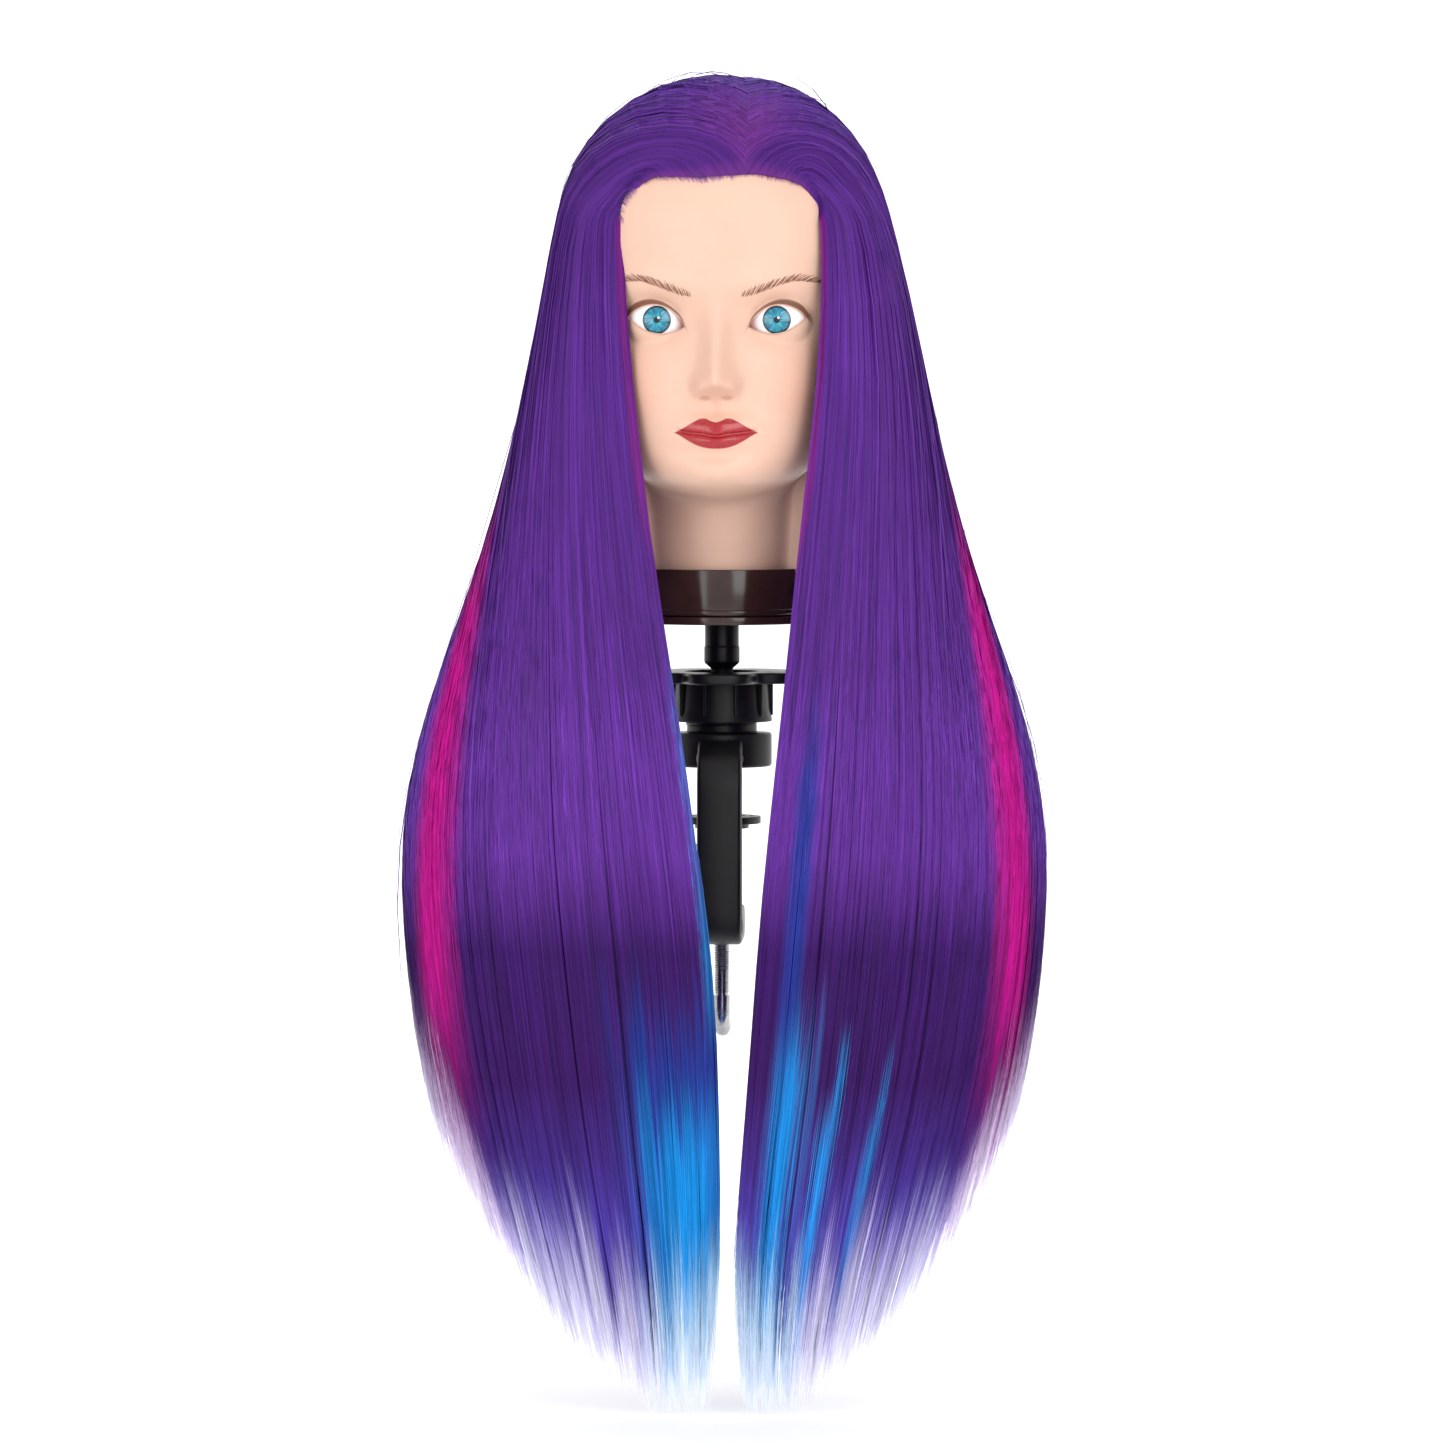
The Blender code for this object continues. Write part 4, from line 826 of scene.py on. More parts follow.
def hair_mass(side, name, random):
    """The closed body of hair under the strands, from the roots to where the tips begin."""
    columns, walls = 110, []
    share = np.linspace(0.012, 1, columns)
    (ends,) = straight_between(HAIR_ENDS, share)
    ragged = np.interp(share, np.linspace(0, 1, 60), random.uniform(0, 50, 60))
    ends = ends + 92 + ragged
    rounded = thinned_edges(share)
    for first, last in ((0.055, 0.055), (0.55, 0.93)):

        def deep(height, first=first, last=last):
            part = first + (last - first) * (1 - smoothstep(100, 190, height))
            return np.maximum(part * hair_room(height) * rounded[:, None], LEAST_COVER)

        points, _, up = hair_routes(side, share, deep, ends, steps=44)
        walls.append((points, up))
    (outer, up), (inner, _) = walls
    rows = outer.shape[1]
    grid = np.concatenate([outer.transpose(1, 0, 2), inner[::-1].transpose(1, 0, 2)], 1)
    places = np.concatenate([up.T, up[::-1].T], 1)
    across = np.concatenate([share, share[::-1]])[None] + np.zeros((rows, 1))
    faces = ring_faces(rows, 2 * columns, closed=True)
    strip = np.arange(columns - 1)
    caps = []
    for row, turned in ((0, False), (rows - 1, True)):
        face = np.stack([strip, strip + 1, 2 * columns - 2 - strip, 2 * columns - 1 - strip], -1)
        face = face + row * 2 * columns
        caps.append(face if turned else face[:, ::-1])
    faces = np.concatenate([faces, *caps])
    if side > 0:
        faces = faces[:, ::-1]
    obj = mesh_piece(name, grid.reshape(-1, 3) * MM + (0, 0, COLLAR_FOOT), faces)
    coordinates = np.stack([across.ravel(), places.ravel()], -1)
    map_corners(obj, np.clip(coordinates, 0.002, 0.998))
    return obj


def hair_fuzz(tree, name, random):
    """Short bristles that stand out of the skin along the whole hairline."""
    rows = [(x, z, -1) for _, x, _, z in HAIR_ROOTS[-1][:7]]
    rows += [(x, z, 1) for _, x, _, z in reversed(HAIR_ROOTS[1][:7])]
    line = np.array(sorted(rows))
    count, steps = 900, 4
    across = random.uniform(line[0, 0], line[-1, 0], count)
    level = np.interp(across, line[:, 0], line[:, 1]) - 3.4 * random.uniform(0, 1, count) ** 2
    length = random.uniform(4, 10, count)
    fan = np.interp(across, (-50, -20, 14, 50), (-0.9, -0.5, 0, 0.9)) + random.normal(0, 0.22, count)
    part = np.linspace(0, 1, steps)
    points, normals = np.zeros((count, steps, 3)), np.zeros((count, steps, 3))
    normals[..., 1] = -1
    for i in range(count):
        for j, t in enumerate(part):
            x = across[i] + math.sin(fan[i]) * length[i] * t
            z = level[i] + math.cos(fan[i]) * length[i] * t
            place = on_face(tree, x, z, 0.05 + 1.9 * t)
            points[i, j] = np.array(place) / MM - (0, 0, COLLAR_FOOT / MM)
    width = np.full((count, steps), 0.28) * np.array([0.8, 1.0, 0.8, 0.3])
    up = np.repeat(1 - 0.03 * part[None], count, 0) - 0.002
    share = np.clip(0.02 + 0.36 * random.uniform(0, 1, count), 0, 1)
    return ribbons(name, points, normals, share, up, width, random.normal(0, 0.3, count))


def map_height(height):
    """Where a height in mm over the collar's foot is on the hair's map."""
    return ROOT_V * (height - HAIR_TIP) / (DOME_FOOT - HAIR_TIP)


def dyed_hair(name, side, settings):
    """Purple hair with magenta and blue streaks, drawn on the strands' own map: across is the share
    round the head and up is the way from the tips to the roots. Its colour by height carries a painted
    sheen band where the curtains bulge and painted shade below it, where they turn under."""
    material, nodes, shader = new_material(name)
    place = nodes.add("UVMap", uv_map="OFBake").outputs["UV"]
    split = nodes.add("SeparateXYZ", {"Vector": place}).outputs
    across, up = split["X"], split["Y"]
    dark, purple, violet = (tuple(c) for c in (settings.dark, settings.purple, settings.violet))
    ramp = nodes.add("ValToRGB", {"Fac": up})

    def blended(first, second, part):
        return tuple(a + (b - a) * part for a, b in zip(first, second))

    # Colour by height with painted light in it: a lighter painted sheen band at -112 to -60 mm where the
    # curtains bulge out, painted shade in the dark purple from -225 to -160 mm where they turn under, the
    # purple darkened a little above the band and more at the roots, and violet tips.
    height_tones_and_painted_light = (
        (-389, violet), (-300, violet), (-262, blended(dark, violet, 0.35)), (-225, dark), (-160, dark),
        (-112, purple), (-60, purple), (-14, blended(purple, dark, 0.30)), (60, blended(purple, dark, 0.32)),
        (161, blended(purple, dark, 0.18)), (196, blended(purple, dark, 0.30)),
    )
    elements = ramp.color_ramp.elements
    while len(elements) < len(height_tones_and_painted_light) + 1:
        elements.new(0.5)
    for element, (height, colour) in zip(elements, height_tones_and_painted_light):
        element.position, element.color = map_height(height), (*colour, 1)
    elements[len(height_tones_and_painted_light)].position, elements[len(height_tones_and_painted_light)].color = 1.0, (*blended(purple, dark, 0.42), 1)
    colour = ramp.outputs["Color"]
    outer = nodes.times(nodes.smooth(across, 0.40, 0.75), nodes.smooth(up, map_height(-160), map_height(-20)))
    colour = nodes.mix(nodes.times(outer, 0.28), colour, violet)
    wide = nodes.add("CombineXYZ", {"X": nodes.times(across, 70.0), "Y": nodes.times(up, 2.0)})
    soft = nodes.times(nodes.minus(nodes.noise(wide.outputs["Vector"], 1.0), 0.5), 0.09)
    frayed = nodes.plus(across, soft)
    uneven = nodes.plus(up, nodes.times(soft, 2.6))
    outwards = nodes.smooth(up, map_height(-70), map_height(-230), 0.0, 0.05)
    drawn_out = nodes.minus(frayed, outwards)

    def streak(under, dye, centre, half, soft_edge, bottom, top, fade, strength=1.0, over=frayed):
        mask = nodes.group(
            shared_group("dye_band", dye_band), Across=over, Height=uneven, Centre=centre, Half_width=half,
            Soft=soft_edge, Bottom=map_height(bottom), Top=map_height(top), Fade=fade,
        )["Mask"]
        return nodes.mix(nodes.times(mask, strength), under, tuple(dye))

    colour = streak(colour, settings.magenta, 0.565, 0.060, 0.045, -175, 5, 0.12, over=drawn_out)
    deep_blue = (0.012, 0.030, 0.240)
    if side < 0:
        colour = streak(colour, settings.blue, 0.0, 0.006, 0.010, -330, -60, 0.10, 0.8)
        colour = streak(colour, deep_blue, 0.05, 0.12, 0.05, -380, -225, 0.08)
        colour = streak(colour, settings.blue, 0.07, 0.07, 0.05, -380, -272, 0.07)
    else:
        colour = streak(colour, deep_blue, 0.075, 0.014, 0.012, -380, -75, 0.08)
        colour = streak(colour, settings.blue, 0.092, 0.024, 0.026, -380, -235, 0.08)
        colour = streak(colour, settings.blue, 0.176, 0.006, 0.008, -380, -250, 0.05)
        colour = streak(colour, settings.blue, 0.27, 0.006, 0.008, -380, -262, 0.05)
    colour = streak(colour, settings.magenta, 0.0, 0.006, 0.012, 60, 230, 0.06, 0.55)
    parting = nodes.times(nodes.smooth(across, 0.36, 0.42), nodes.smooth(across, 0.72, 0.5))
    parting = nodes.times(parting, nodes.smooth(up, 0.91, 1.0))
    colour = nodes.mix(nodes.times(parting, 0.45), colour, (0.22, 0.03, 0.24))
    hairline = nodes.times(nodes.smooth(up, 0.975, 1.0), nodes.smooth(across, 0.45, 0.38))
    colour = nodes.mix(nodes.times(hairline, 0.30), colour, (0.30, 0.05, 0.28))
    ends = [(share, map_height(height)) for share, height in HAIR_ENDS]
    edge = nodes.curve(across, ends)
    over = nodes.minus(uneven, edge)
    tips = nodes.smooth(over, map_height(HAIR_TIP + 84), map_height(HAIR_TIP + 26))
    bluish = nodes.smooth(across, 0.22, 0.12)
    tip_colour = nodes.mix(bluish, tuple(settings.pale), (0.40, 0.72, 0.93))
    pinkish = nodes.times(nodes.smooth(across, 0.50, 0.60), nodes.smooth(across, 0.85, 0.72))
    tip_colour = nodes.mix(nodes.times(pinkish, 0.6), tip_colour, (0.80, 0.36, 0.70))
    colour = nodes.mix(nodes.times(tips, 0.85), colour, tip_colour)
    whiter = nodes.smooth(over, map_height(HAIR_TIP + 64), map_height(HAIR_TIP + 6))
    colour = nodes.mix(nodes.times(whiter, 0.75), colour, (0.84, 0.84, 0.97))
    narrow = nodes.add("CombineXYZ", {"X": nodes.times(across, 420.0), "Y": nodes.times(up, 5.0)})
    fibre = nodes.noise(narrow.outputs["Vector"], 1.0, 3.0, 0.7)
    shade = nodes.smooth(fibre, 0.30, 0.70, 0.52, 1.48)
    broad = nodes.smooth(nodes.noise(wide.outputs["Vector"], 1.0), 0.3, 0.7, 0.88, 1.12)
    shade = nodes.times(shade, broad)
    grey = nodes.add("CombineColor", {"Red": shade, "Green": shade, "Blue": shade}).outputs["Color"]
    nodes.put(shader.inputs["Base Color"], nodes.mix(1.0, colour, grey, "MULTIPLY"))
    nodes.put(shader.inputs["Roughness"], nodes.smooth(fibre, 0.3, 0.7, 0.38, 0.52))
    shader.inputs["Specular IOR Level"].default_value = 0.11
    return material


def fuzz_hair(settings):
    """The bristles of the hairline: pale where they leave the skin and purple beyond."""
    material, nodes, shader = new_material("hairline_fuzz")
    place = nodes.add("UVMap", uv_map="OFBake").outputs["UV"]
    split = nodes.add("SeparateXYZ", {"Vector": place}).outputs
    root = nodes.smooth(split["Y"], 0.984, 0.996)
    tone = nodes.smooth(nodes.math("FRACT", nodes.times(split["X"], 97.0)), 0.0, 1.0)
    body = nodes.mix(tone, tuple(settings.dark), tuple(settings.purple))
    nodes.put(shader.inputs["Base Color"], nodes.mix(root, body, (0.52, 0.24, 0.36)))
    shader.inputs["Roughness"].default_value = 0.45
    return material


# ---- head ---------------------------------------------------------------------------------------
def face_relief(across, height):
    """How far the features stand forwards of the plain oval, in mm, across and height in mm."""
    total = np.zeros_like(across)
    for place, level, forwards, wide, reach_up, reach_down in FACE_BUMPS:
        tall = np.where(height > level, reach_up, reach_down)
        for side in (-1, 1) if place else (1,):
            away = ((across - side * place) / wide) ** 2 + ((height - level) / tall) ** 2
            total += forwards * np.exp(-away / 2)
    part = np.abs(across) / MOUTH_HALF
    seam = 95.3 + 1.1 * np.clip(part, 0, 1) ** 2 - 0.9 * np.exp(-((across / 3.2) ** 2) / 2)
    closed = np.exp(-(((height - seam) / 0.75) ** 2) / 2) * (1 - smoothstep(0.85, 1.08, part))
    return total - 1.9 * closed


def lip_edges(across):
    """The upper and lower edges of the painted lips, by distance from the middle in mm."""
    return between(LIP_TOP, across)[0], between(LIP_FOOT, across)[0]


def lid_edges(part):
    """The eye's opening, upper and lower, at each part of the way from the inner to the outer corner."""
    across = EYE_INNER[0] + (EYE_OUTER[0] - EYE_INNER[0]) * part
    line = EYE_INNER[1] + (EYE_OUTER[1] - EYE_INNER[1]) * part
    upper = line + EYE_RISE * np.sin(np.pi * part**0.9) ** 0.72
    lower = line - EYE_DROP * np.sin(np.pi * part**1.05) ** 0.85
    return across, upper, lower


def head_surface(angles, heights):
    """The skin in mm over the collar's foot, for angles from the face round to the back."""
    height, angle = np.meshgrid(heights, angles, indexing="ij")
    face, back, half = between(HEAD_OUTLINE, height)
    c, s = np.cos(angle), np.sin(angle)
    power = 2.0 + 0.3 * smoothstep(60, 90, height) * (1 - smoothstep(200, 235, height))
    reach = np.where(c > 0, face, back)
    size = (np.abs(c / reach) ** power + np.abs(s / half) ** power) ** (-1 / power)
    x, forwards = size * s, size * c
    seen = smoothstep(0, 0.35, c)
    forwards = forwards + face_relief(x, height) * np.where(c > 0, seen, 0)
    jaw = smoothstep(40, 66, height) * (1 - smoothstep(70, 165, height))
    lift = JAW_LIFT * jaw * np.minimum(1, 1.25 * ((1 - c) / 2) ** 0.8)
    level = height + lift
    off = (np.abs(x) - EYE_ACROSS) ** 2 + (level - EYE_LEVEL) ** 2
    lid = EYE_DEEP + np.sqrt(np.maximum(LID_RADIUS**2 - off, 0)) - 40 * (off > LID_RADIUS**2)
    share = np.clip(0.5 + 0.5 * (lid - forwards) / LID_BLEND, 0, 1)
    joined = forwards + (lid - forwards) * share + LID_BLEND * share * (1 - share)
    forwards = np.where(c > 0.2, joined, forwards)
    lidded, crease = np.abs(x) - EYE_ACROSS, EYE_LEVEL
    part = np.clip((lidded - EYE_INNER[0]) / (EYE_OUTER[0] - EYE_INNER[0]), 0, 1)
    fold = crease + lid_edges(part)[1] + 2.6
    near = np.exp(-(((level - fold) / 0.7) ** 2) / 2) * (np.abs(lidded) < 14) * smoothstep(0, 0.15, part)
    forwards = forwards - 0.7 * near * (1 - smoothstep(0.85, 1, part)) * (c > 0.2)
    return np.stack([x, -forwards, level], -1)


def build_skin():
    """The head's skin: rings from the neck to the crown, closer together on the face."""
    columns = 288
    t = 2 * np.arange(columns) / columns - 1
    angles = np.pi * t * (0.42 + 0.58 * t * t)
    heights = np.concatenate([
        np.linspace(5, 56, 12)[:-1], np.linspace(56, 74, 22)[:-1], np.linspace(74, 108, 52)[:-1],
        np.linspace(108, 128, 28)[:-1], np.linspace(128, 175, 62)[:-1], np.linspace(175, 266.5, 60),
    ])
    grid = head_surface(angles, heights)
    rows = len(heights)
    faces = ring_faces(rows, columns, closed=True)
    points = grid.reshape(-1, 3) * MM + (0, 0, COLLAR_FOOT)
    head = mesh_piece("head_skin", points, faces)
    close_up(head)
    return head


def cut_eye_opening(head, side, rim):
    """Cuts the almond opening of one eye, as deep as the eyeball needs."""
    part = np.linspace(0, 1, 41)
    across, upper, lower = lid_edges(part)
    back = slice(-2, 0, -1)
    outline = np.array([*zip(across, upper), *zip(across[back], lower[back])])
    if side < 0:
        outline = outline[::-1]
    count = len(outline)
    front, behind = -(EYE_FRONT + 12) * MM, -(EYE_DEEP + 1.5) * MM
    x = side * (EYE_ACROSS + outline[:, 0]) * MM
    z = COLLAR_FOOT + (EYE_LEVEL + outline[:, 1]) * MM
    rings = [np.stack([x, np.full(count, y), z], -1) for y in (front, behind)]
    cutter = mesh_piece("eye_cutter", np.concatenate(rings), ring_faces(2, count, closed=True), smooth=False)
    close_up(cutter)
    cutter.data.materials.append(rim)
    modifier = head.modifiers.new("opening", "BOOLEAN")
    modifier.object, modifier.operation, modifier.solver = cutter, "DIFFERENCE", "EXACT"
    modifier.material_mode = "TRANSFER"
    apply_modifiers(head)
    bpy.data.objects.remove(cutter)


def painted_vinyl(settings):
    """Satin vinyl with painted lips, lid lines, blush and painted shade in the nostrils, drawn by place on
    the face.
    """
    material, nodes, shader = new_material("painted_vinyl")
    place = nodes.add("TexCoord").outputs["Object"]
    x, y, z = nodes.add("SeparateXYZ", {"Vector": place}).outputs
    across = nodes.divided(nodes.math("ABSOLUTE", x), MM)
    height = nodes.divided(nodes.minus(z, COLLAR_FOOT), MM)
    front = nodes.smooth(y, -0.040, -0.055)
    span, low, tall = 25.0, 85.0, 25.0
    scaled = nodes.divided(across, span)
    steps = np.linspace(0, LIP_CORNER, 9)
    upper, lower = lip_edges(steps)
    edges = []
    for edge in (upper, lower):
        drawn = nodes.curve(scaled, [(a / span, (b - low) / tall) for a, b in zip(steps, edge)])
        edges.append(nodes.plus(nodes.times(drawn, tall), low))
    under = nodes.smooth(nodes.minus(edges[0], height), -0.25, 0.35)
    above = nodes.smooth(nodes.minus(height, edges[1]), -0.25, 0.35)
    lips = nodes.times(nodes.times(under, above), nodes.smooth(across, 21.0, 20.2))
    lips = nodes.times(lips, front)
    part = np.linspace(0, 1, 11)
    _, lid_up, lid_low = lid_edges(part)
    shown = nodes.divided(nodes.minus(across, EYE_ACROSS + EYE_INNER[0]), EYE_OUTER[0] - EYE_INNER[0])
    lid_span, lid_base = 20.0, -8.0
    lids = []
    for edge in (lid_up, lid_low):
        drawn = nodes.curve(shown, [(a, (b - lid_base) / lid_span) for a, b in zip(part, edge)])
        lids.append(nodes.plus(nodes.times(drawn, lid_span), lid_base + EYE_LEVEL))
    inside = nodes.times(nodes.smooth(shown, -0.10, 0.08), nodes.smooth(shown, 1.16, 1.0))
    gap = nodes.minus(height, lids[0])
    thick = nodes.smooth(shown, 0.1, 1.0, 1.5, 3.6)
    line = nodes.times(nodes.smooth(gap, 0.1, 0.7), nodes.smooth(nodes.minus(gap, thick), 0.8, -0.3))
    shadow = nodes.times(nodes.smooth(gap, -0.5, 0.8), nodes.smooth(gap, 9.0, 1.0))
    below = nodes.minus(lids[1], height)
    lower_line = nodes.times(nodes.smooth(below, -0.2, 0.2), nodes.smooth(below, 1.4, 0.3))
    painted = nodes.times(inside, front)
    line = nodes.times(line, painted)
    shadow = nodes.times(shadow, nodes.times(painted, 0.16))
    lower_line = nodes.times(lower_line, nodes.times(painted, 0.30))

    def spot(centre, level, wide, high):
        a = nodes.divided(nodes.minus(across, centre), wide)
        b = nodes.divided(nodes.minus(height, level), high)
        away = nodes.plus(nodes.times(a, a), nodes.times(b, b))
        return nodes.times(nodes.smooth(away, 1.0, 0.0), front)

    uneven = nodes.noise(place, 38.0, 3.0, 0.55)
    skin, lips_red, brow = (tuple(c) for c in (settings.skin, settings.lips, settings.brow))
    colour = nodes.mix(nodes.smooth(uneven, 0.35, 0.7), skin, tuple(0.965 * c for c in skin))
    warm = nodes.plus(spot(42, 120, 26, 26), nodes.times(spot(0, 119, 16, 12), 0.45), clamp=True)
    colour = nodes.mix(nodes.times(warm, 0.40), colour, tuple(settings.blush))
    # Painted shade in the nostril dents: a dark brown spot under each side of the nose.
    colour = nodes.mix(nodes.times(spot(5.4, 113.2, 3.8, 1.7), 0.42), colour, (0.36, 0.13, 0.09))
    colour = nodes.mix(shadow, colour, tuple(2.6 * c for c in brow))
    colour = nodes.mix(lower_line, colour, brow)
    colour = nodes.mix(nodes.times(line, 0.88), colour, brow)
    upright = nodes.add("Mapping", {"Vector": place, "Scale": (1, 1, 0.3)}).outputs[0]
    streaks = nodes.smooth(nodes.noise(upright, 900.0, 2.0), 0.3, 0.7)
    lip_colour = nodes.mix(streaks, lips_red, tuple(0.72 * c for c in lips_red))
    colour = nodes.mix(lips, colour, lip_colour)
    nodes.put(shader.inputs["Base Color"], colour)
    fine = nodes.noise(place, 1500.0, 3.0, 0.6)
    satin = nodes.smooth(uneven, 0.3, 0.7, 0.46, 0.56)
    nodes.put(shader.inputs["Roughness"], nodes.minus(satin, nodes.times(lips, 0.26)))
    nodes.put(shader.inputs["Coat Weight"], nodes.times(lips, 0.3))
    shader.inputs["Coat Roughness"].default_value = 0.12
    shader.inputs["Subsurface Weight"].default_value = 0.12
    shader.inputs["Subsurface Scale"].default_value = 0.006
    shader.inputs["Subsurface Radius"].default_value = (1.0, 0.45, 0.3)
    bump = nodes.add("Bump", {"Strength": 0.07, "Distance": 0.0004, "Height": fine})
    nodes.put(shader.inputs["Normal"], bump.outputs["Normal"])
    return material


def eyeball_acrylic(settings):
    """A painted acrylic eye: radial fibres in the iris, a dark ring round it, the pupil with a painted
    highlight beside it for a catch light, and a faintly veined white, drawn on the eye's own front map."""
    material, nodes, shader = new_material("painted_eye")
    place = nodes.add("UVMap", uv_map="OFBake").outputs["UV"]
    u, v, _ = nodes.add("SeparateXYZ", {"Vector": place}).outputs
    x = nodes.times(nodes.minus(u, 0.5), 2.0 * EYE_RADIUS)
    z = nodes.times(nodes.minus(v, 0.5), 2.0 * EYE_RADIUS)
    out = nodes.math("SQRT", nodes.plus(nodes.times(x, x), nodes.times(z, z)))
    angle = nodes.math("ARCTAN2", z, x)
    ring = nodes.add("CombineXYZ", {
        "X": nodes.times(nodes.math("COSINE", angle), 14.0),
        "Y": nodes.times(nodes.math("SINE", angle), 14.0),
        "Z": nodes.times(out, 0.25),
    }).outputs["Vector"]
    fibres = nodes.smooth(nodes.noise(ring, 1.0, 3.0, 0.6), 0.36, 0.66)
    iris, dark = tuple(settings.iris), tuple(0.10 * c for c in settings.iris)
    colour = nodes.mix(fibres, tuple(0.22 * c for c in iris), tuple(min(1.0, 1.25 * c) for c in iris))
    glow = nodes.times(nodes.smooth(out, 4.8, 2.0), nodes.times(fibres, 0.45))
    colour = nodes.mix(glow, colour, (0.06, 0.52, 0.62))
    colour = nodes.mix(nodes.smooth(out, 5.5, 6.5), colour, dark)
    colour = nodes.mix(nodes.smooth(out, 1.75, 1.35), colour, (0.004, 0.006, 0.010))
    # A painted highlight: a small white catch light beside the pupil, standing in for a reflection of the
    # lamps.
    painted_glint_x = nodes.minus(x, 0.9)
    painted_glint_z = nodes.minus(z, 1.1)
    painted_glint = nodes.plus(nodes.times(painted_glint_x, painted_glint_x), nodes.times(painted_glint_z, painted_glint_z))
    colour = nodes.mix(nodes.smooth(painted_glint, 0.50, 0.15), colour, (0.90, 0.95, 0.97))
    veins = nodes.smooth(nodes.noise(place, 9.0, 4.0, 0.6), 0.45, 0.75, 0.0, 0.25)
    white = nodes.mix(veins, (0.86, 0.86, 0.88), (0.80, 0.70, 0.70))
    white = nodes.mix(nodes.smooth(out, 11.0, 15.0, 0.0, 0.5), white, (0.72, 0.52, 0.48))
    colour = nodes.mix(nodes.smooth(out, 6.85, 7.15), colour, white)
    nodes.put(shader.inputs["Base Color"], colour)
    nodes.put(shader.inputs["Roughness"], nodes.smooth(out, 6.5, 8.0, 0.10, 0.22))
    shader.inputs["Coat Weight"].default_value = 0.3
    shader.inputs["Coat Roughness"].default_value = 0.03
    return material


def build_eye(side):
    """The front of an eyeball, cut flat and closed behind, with its own front map."""
    deselect()
    centre = (side * EYE_ACROSS * MM, -EYE_DEEP * MM, COLLAR_FOOT + EYE_LEVEL * MM)
    bpy.ops.mesh.primitive_uv_sphere_add(
        segments=72, ring_count=56, radius=EYE_RADIUS * MM, location=centre, rotation=(math.pi / 2, 0, 0)
    )
    eye = bpy.context.object
    apply_place(eye)
    bpy.ops.object.mode_set(mode="EDIT")
    bpy.ops.mesh.select_all(action="SELECT")
    behind = (centre[0], centre[1] - 4 * MM, centre[2])
    bpy.ops.mesh.bisect(plane_co=behind, plane_no=(0, 1, 0), use_fill=True, clear_outer=True)
    bpy.ops.object.mode_set(mode="OBJECT")
    mesh = eye.data
    points = np.empty(len(mesh.vertices) * 3, np.float32)
    mesh.vertices.foreach_get("co", points)
    off = (points.reshape(-1, 3) - centre) / (2 * EYE_RADIUS * MM) + 0.5
    while mesh.uv_layers:
        mesh.uv_layers.remove(mesh.uv_layers[0])
    map_corners(eye, np.clip(off[:, (0, 2)], 0.001, 0.999))
    return smooth_by_angle(eye, 40)


def face_tree(head):
    bpy.context.view_layer.update()
    return BVHTree.FromObject(head, bpy.context.evaluated_depsgraph_get())


def on_face(tree, across, height, over):
    """A point over mm in front of the face at this place, in metres."""
    start = Vector((across * MM, -0.2, COLLAR_FOOT + height * MM))
    hit = tree.ray_cast(start, Vector((0, 1, 0)))[0]
    return hit + Vector((0, -over * MM, 0))


def build_brows(tree, random):
    """Painted brows: fine slanting strokes that follow a soft arch."""
    points, faces = [], []
    for side in (-1, 1):
        for along in np.linspace(BROW[0][0], BROW[-1][0], 74) + random.normal(0, 0.12, 74):
            middle, half = (float(value) for value in between(BROW, along))
            start = middle - half * random.uniform(0.9, 1.15)
            slant = math.radians(np.interp(along, (12, 24, 36, 50), (72, 58, 44, 24)) + random.normal(0, 4))
            length = 2 * half / math.sin(slant) * random.uniform(0.85, 1.15)
            base = len(points)
            steps = 5
            for i in range(steps):
                part = i / (steps - 1)
                a = along + math.cos(slant) * length * part
                h = start + math.sin(slant) * length * part - 0.5 * part**2
                wide = 0.19 * (1 - 0.6 * part) * (0.5 + 0.5 * min(1, part * 6))
                n = (-math.sin(slant) * wide, math.cos(slant) * wide)
                for way in (-1, 1):
                    points.append(on_face(tree, side * (a + way * n[0]), h + way * n[1], 0.06))
            for i in range(steps - 1):
                face = (base + 2 * i, base + 2 * i + 2, base + 2 * i + 3, base + 2 * i + 1)
                faces.append(face if side < 0 else face[::-1])
    return mesh_piece("brows", points, faces)


def brow_paint(settings):
    material, nodes, shader = new_material("brow_paint")
    place = nodes.add("TexCoord").outputs["Object"]
    tone = nodes.smooth(nodes.noise(place, 700.0, 2.0), 0.3, 0.7)
    colour = nodes.mix(tone, tuple(settings.brow), tuple(1.7 * c for c in settings.brow))
    nodes.put(shader.inputs["Base Color"], colour)
    shader.inputs["Roughness"].default_value = 0.6
    return material


# ---- turned and drawn pieces, in metres ----------------------------------------------------------
def turned_piece(name, profile, steps=96, closed=False):
    """A shape turned about the upright axis: a circle that is extruded and resized ring by ring along
    (radius, height) points, which end on the axis or close on themselves."""
    least = 0.02 * MM
    profile = [(max(radius, least), height) for radius, height in profile]
    if closed:
        profile.append(profile[0])
    deselect()
    radius, height = profile[0]
    bpy.ops.mesh.primitive_circle_add(
        vertices=steps, radius=radius, fill_type="NOTHING", location=(0, 0, height)
    )
    obj = bpy.context.object
    obj.name = name
    bpy.ops.object.mode_set(mode="EDIT")
    bpy.ops.mesh.select_all(action="SELECT")
    for new_radius, new_height in profile[1:]:
        bpy.ops.mesh.extrude_region_move(TRANSFORM_OT_translate={"value": (0, 0, new_height - height)})
        if new_radius != radius:
            share = new_radius / radius
            bpy.ops.transform.resize(value=(share, share, 1), center_override=(0, 0, new_height))
        radius, height = new_radius, new_height
    bpy.ops.mesh.select_all(action="SELECT")
    bpy.ops.mesh.remove_doubles(threshold=0.003 * MM)
    if not closed:
        bpy.ops.mesh.select_all(action="DESELECT")
        bpy.ops.mesh.select_mode(type="EDGE")
        bpy.ops.mesh.select_non_manifold()
        bpy.ops.mesh.fill_holes(sides=0)
        bpy.ops.mesh.select_all(action="SELECT")
    bpy.ops.mesh.normals_make_consistent(inside=False)
    bpy.ops.object.mode_set(mode="OBJECT")
    apply_place(obj)
    return smooth_by_angle(obj)


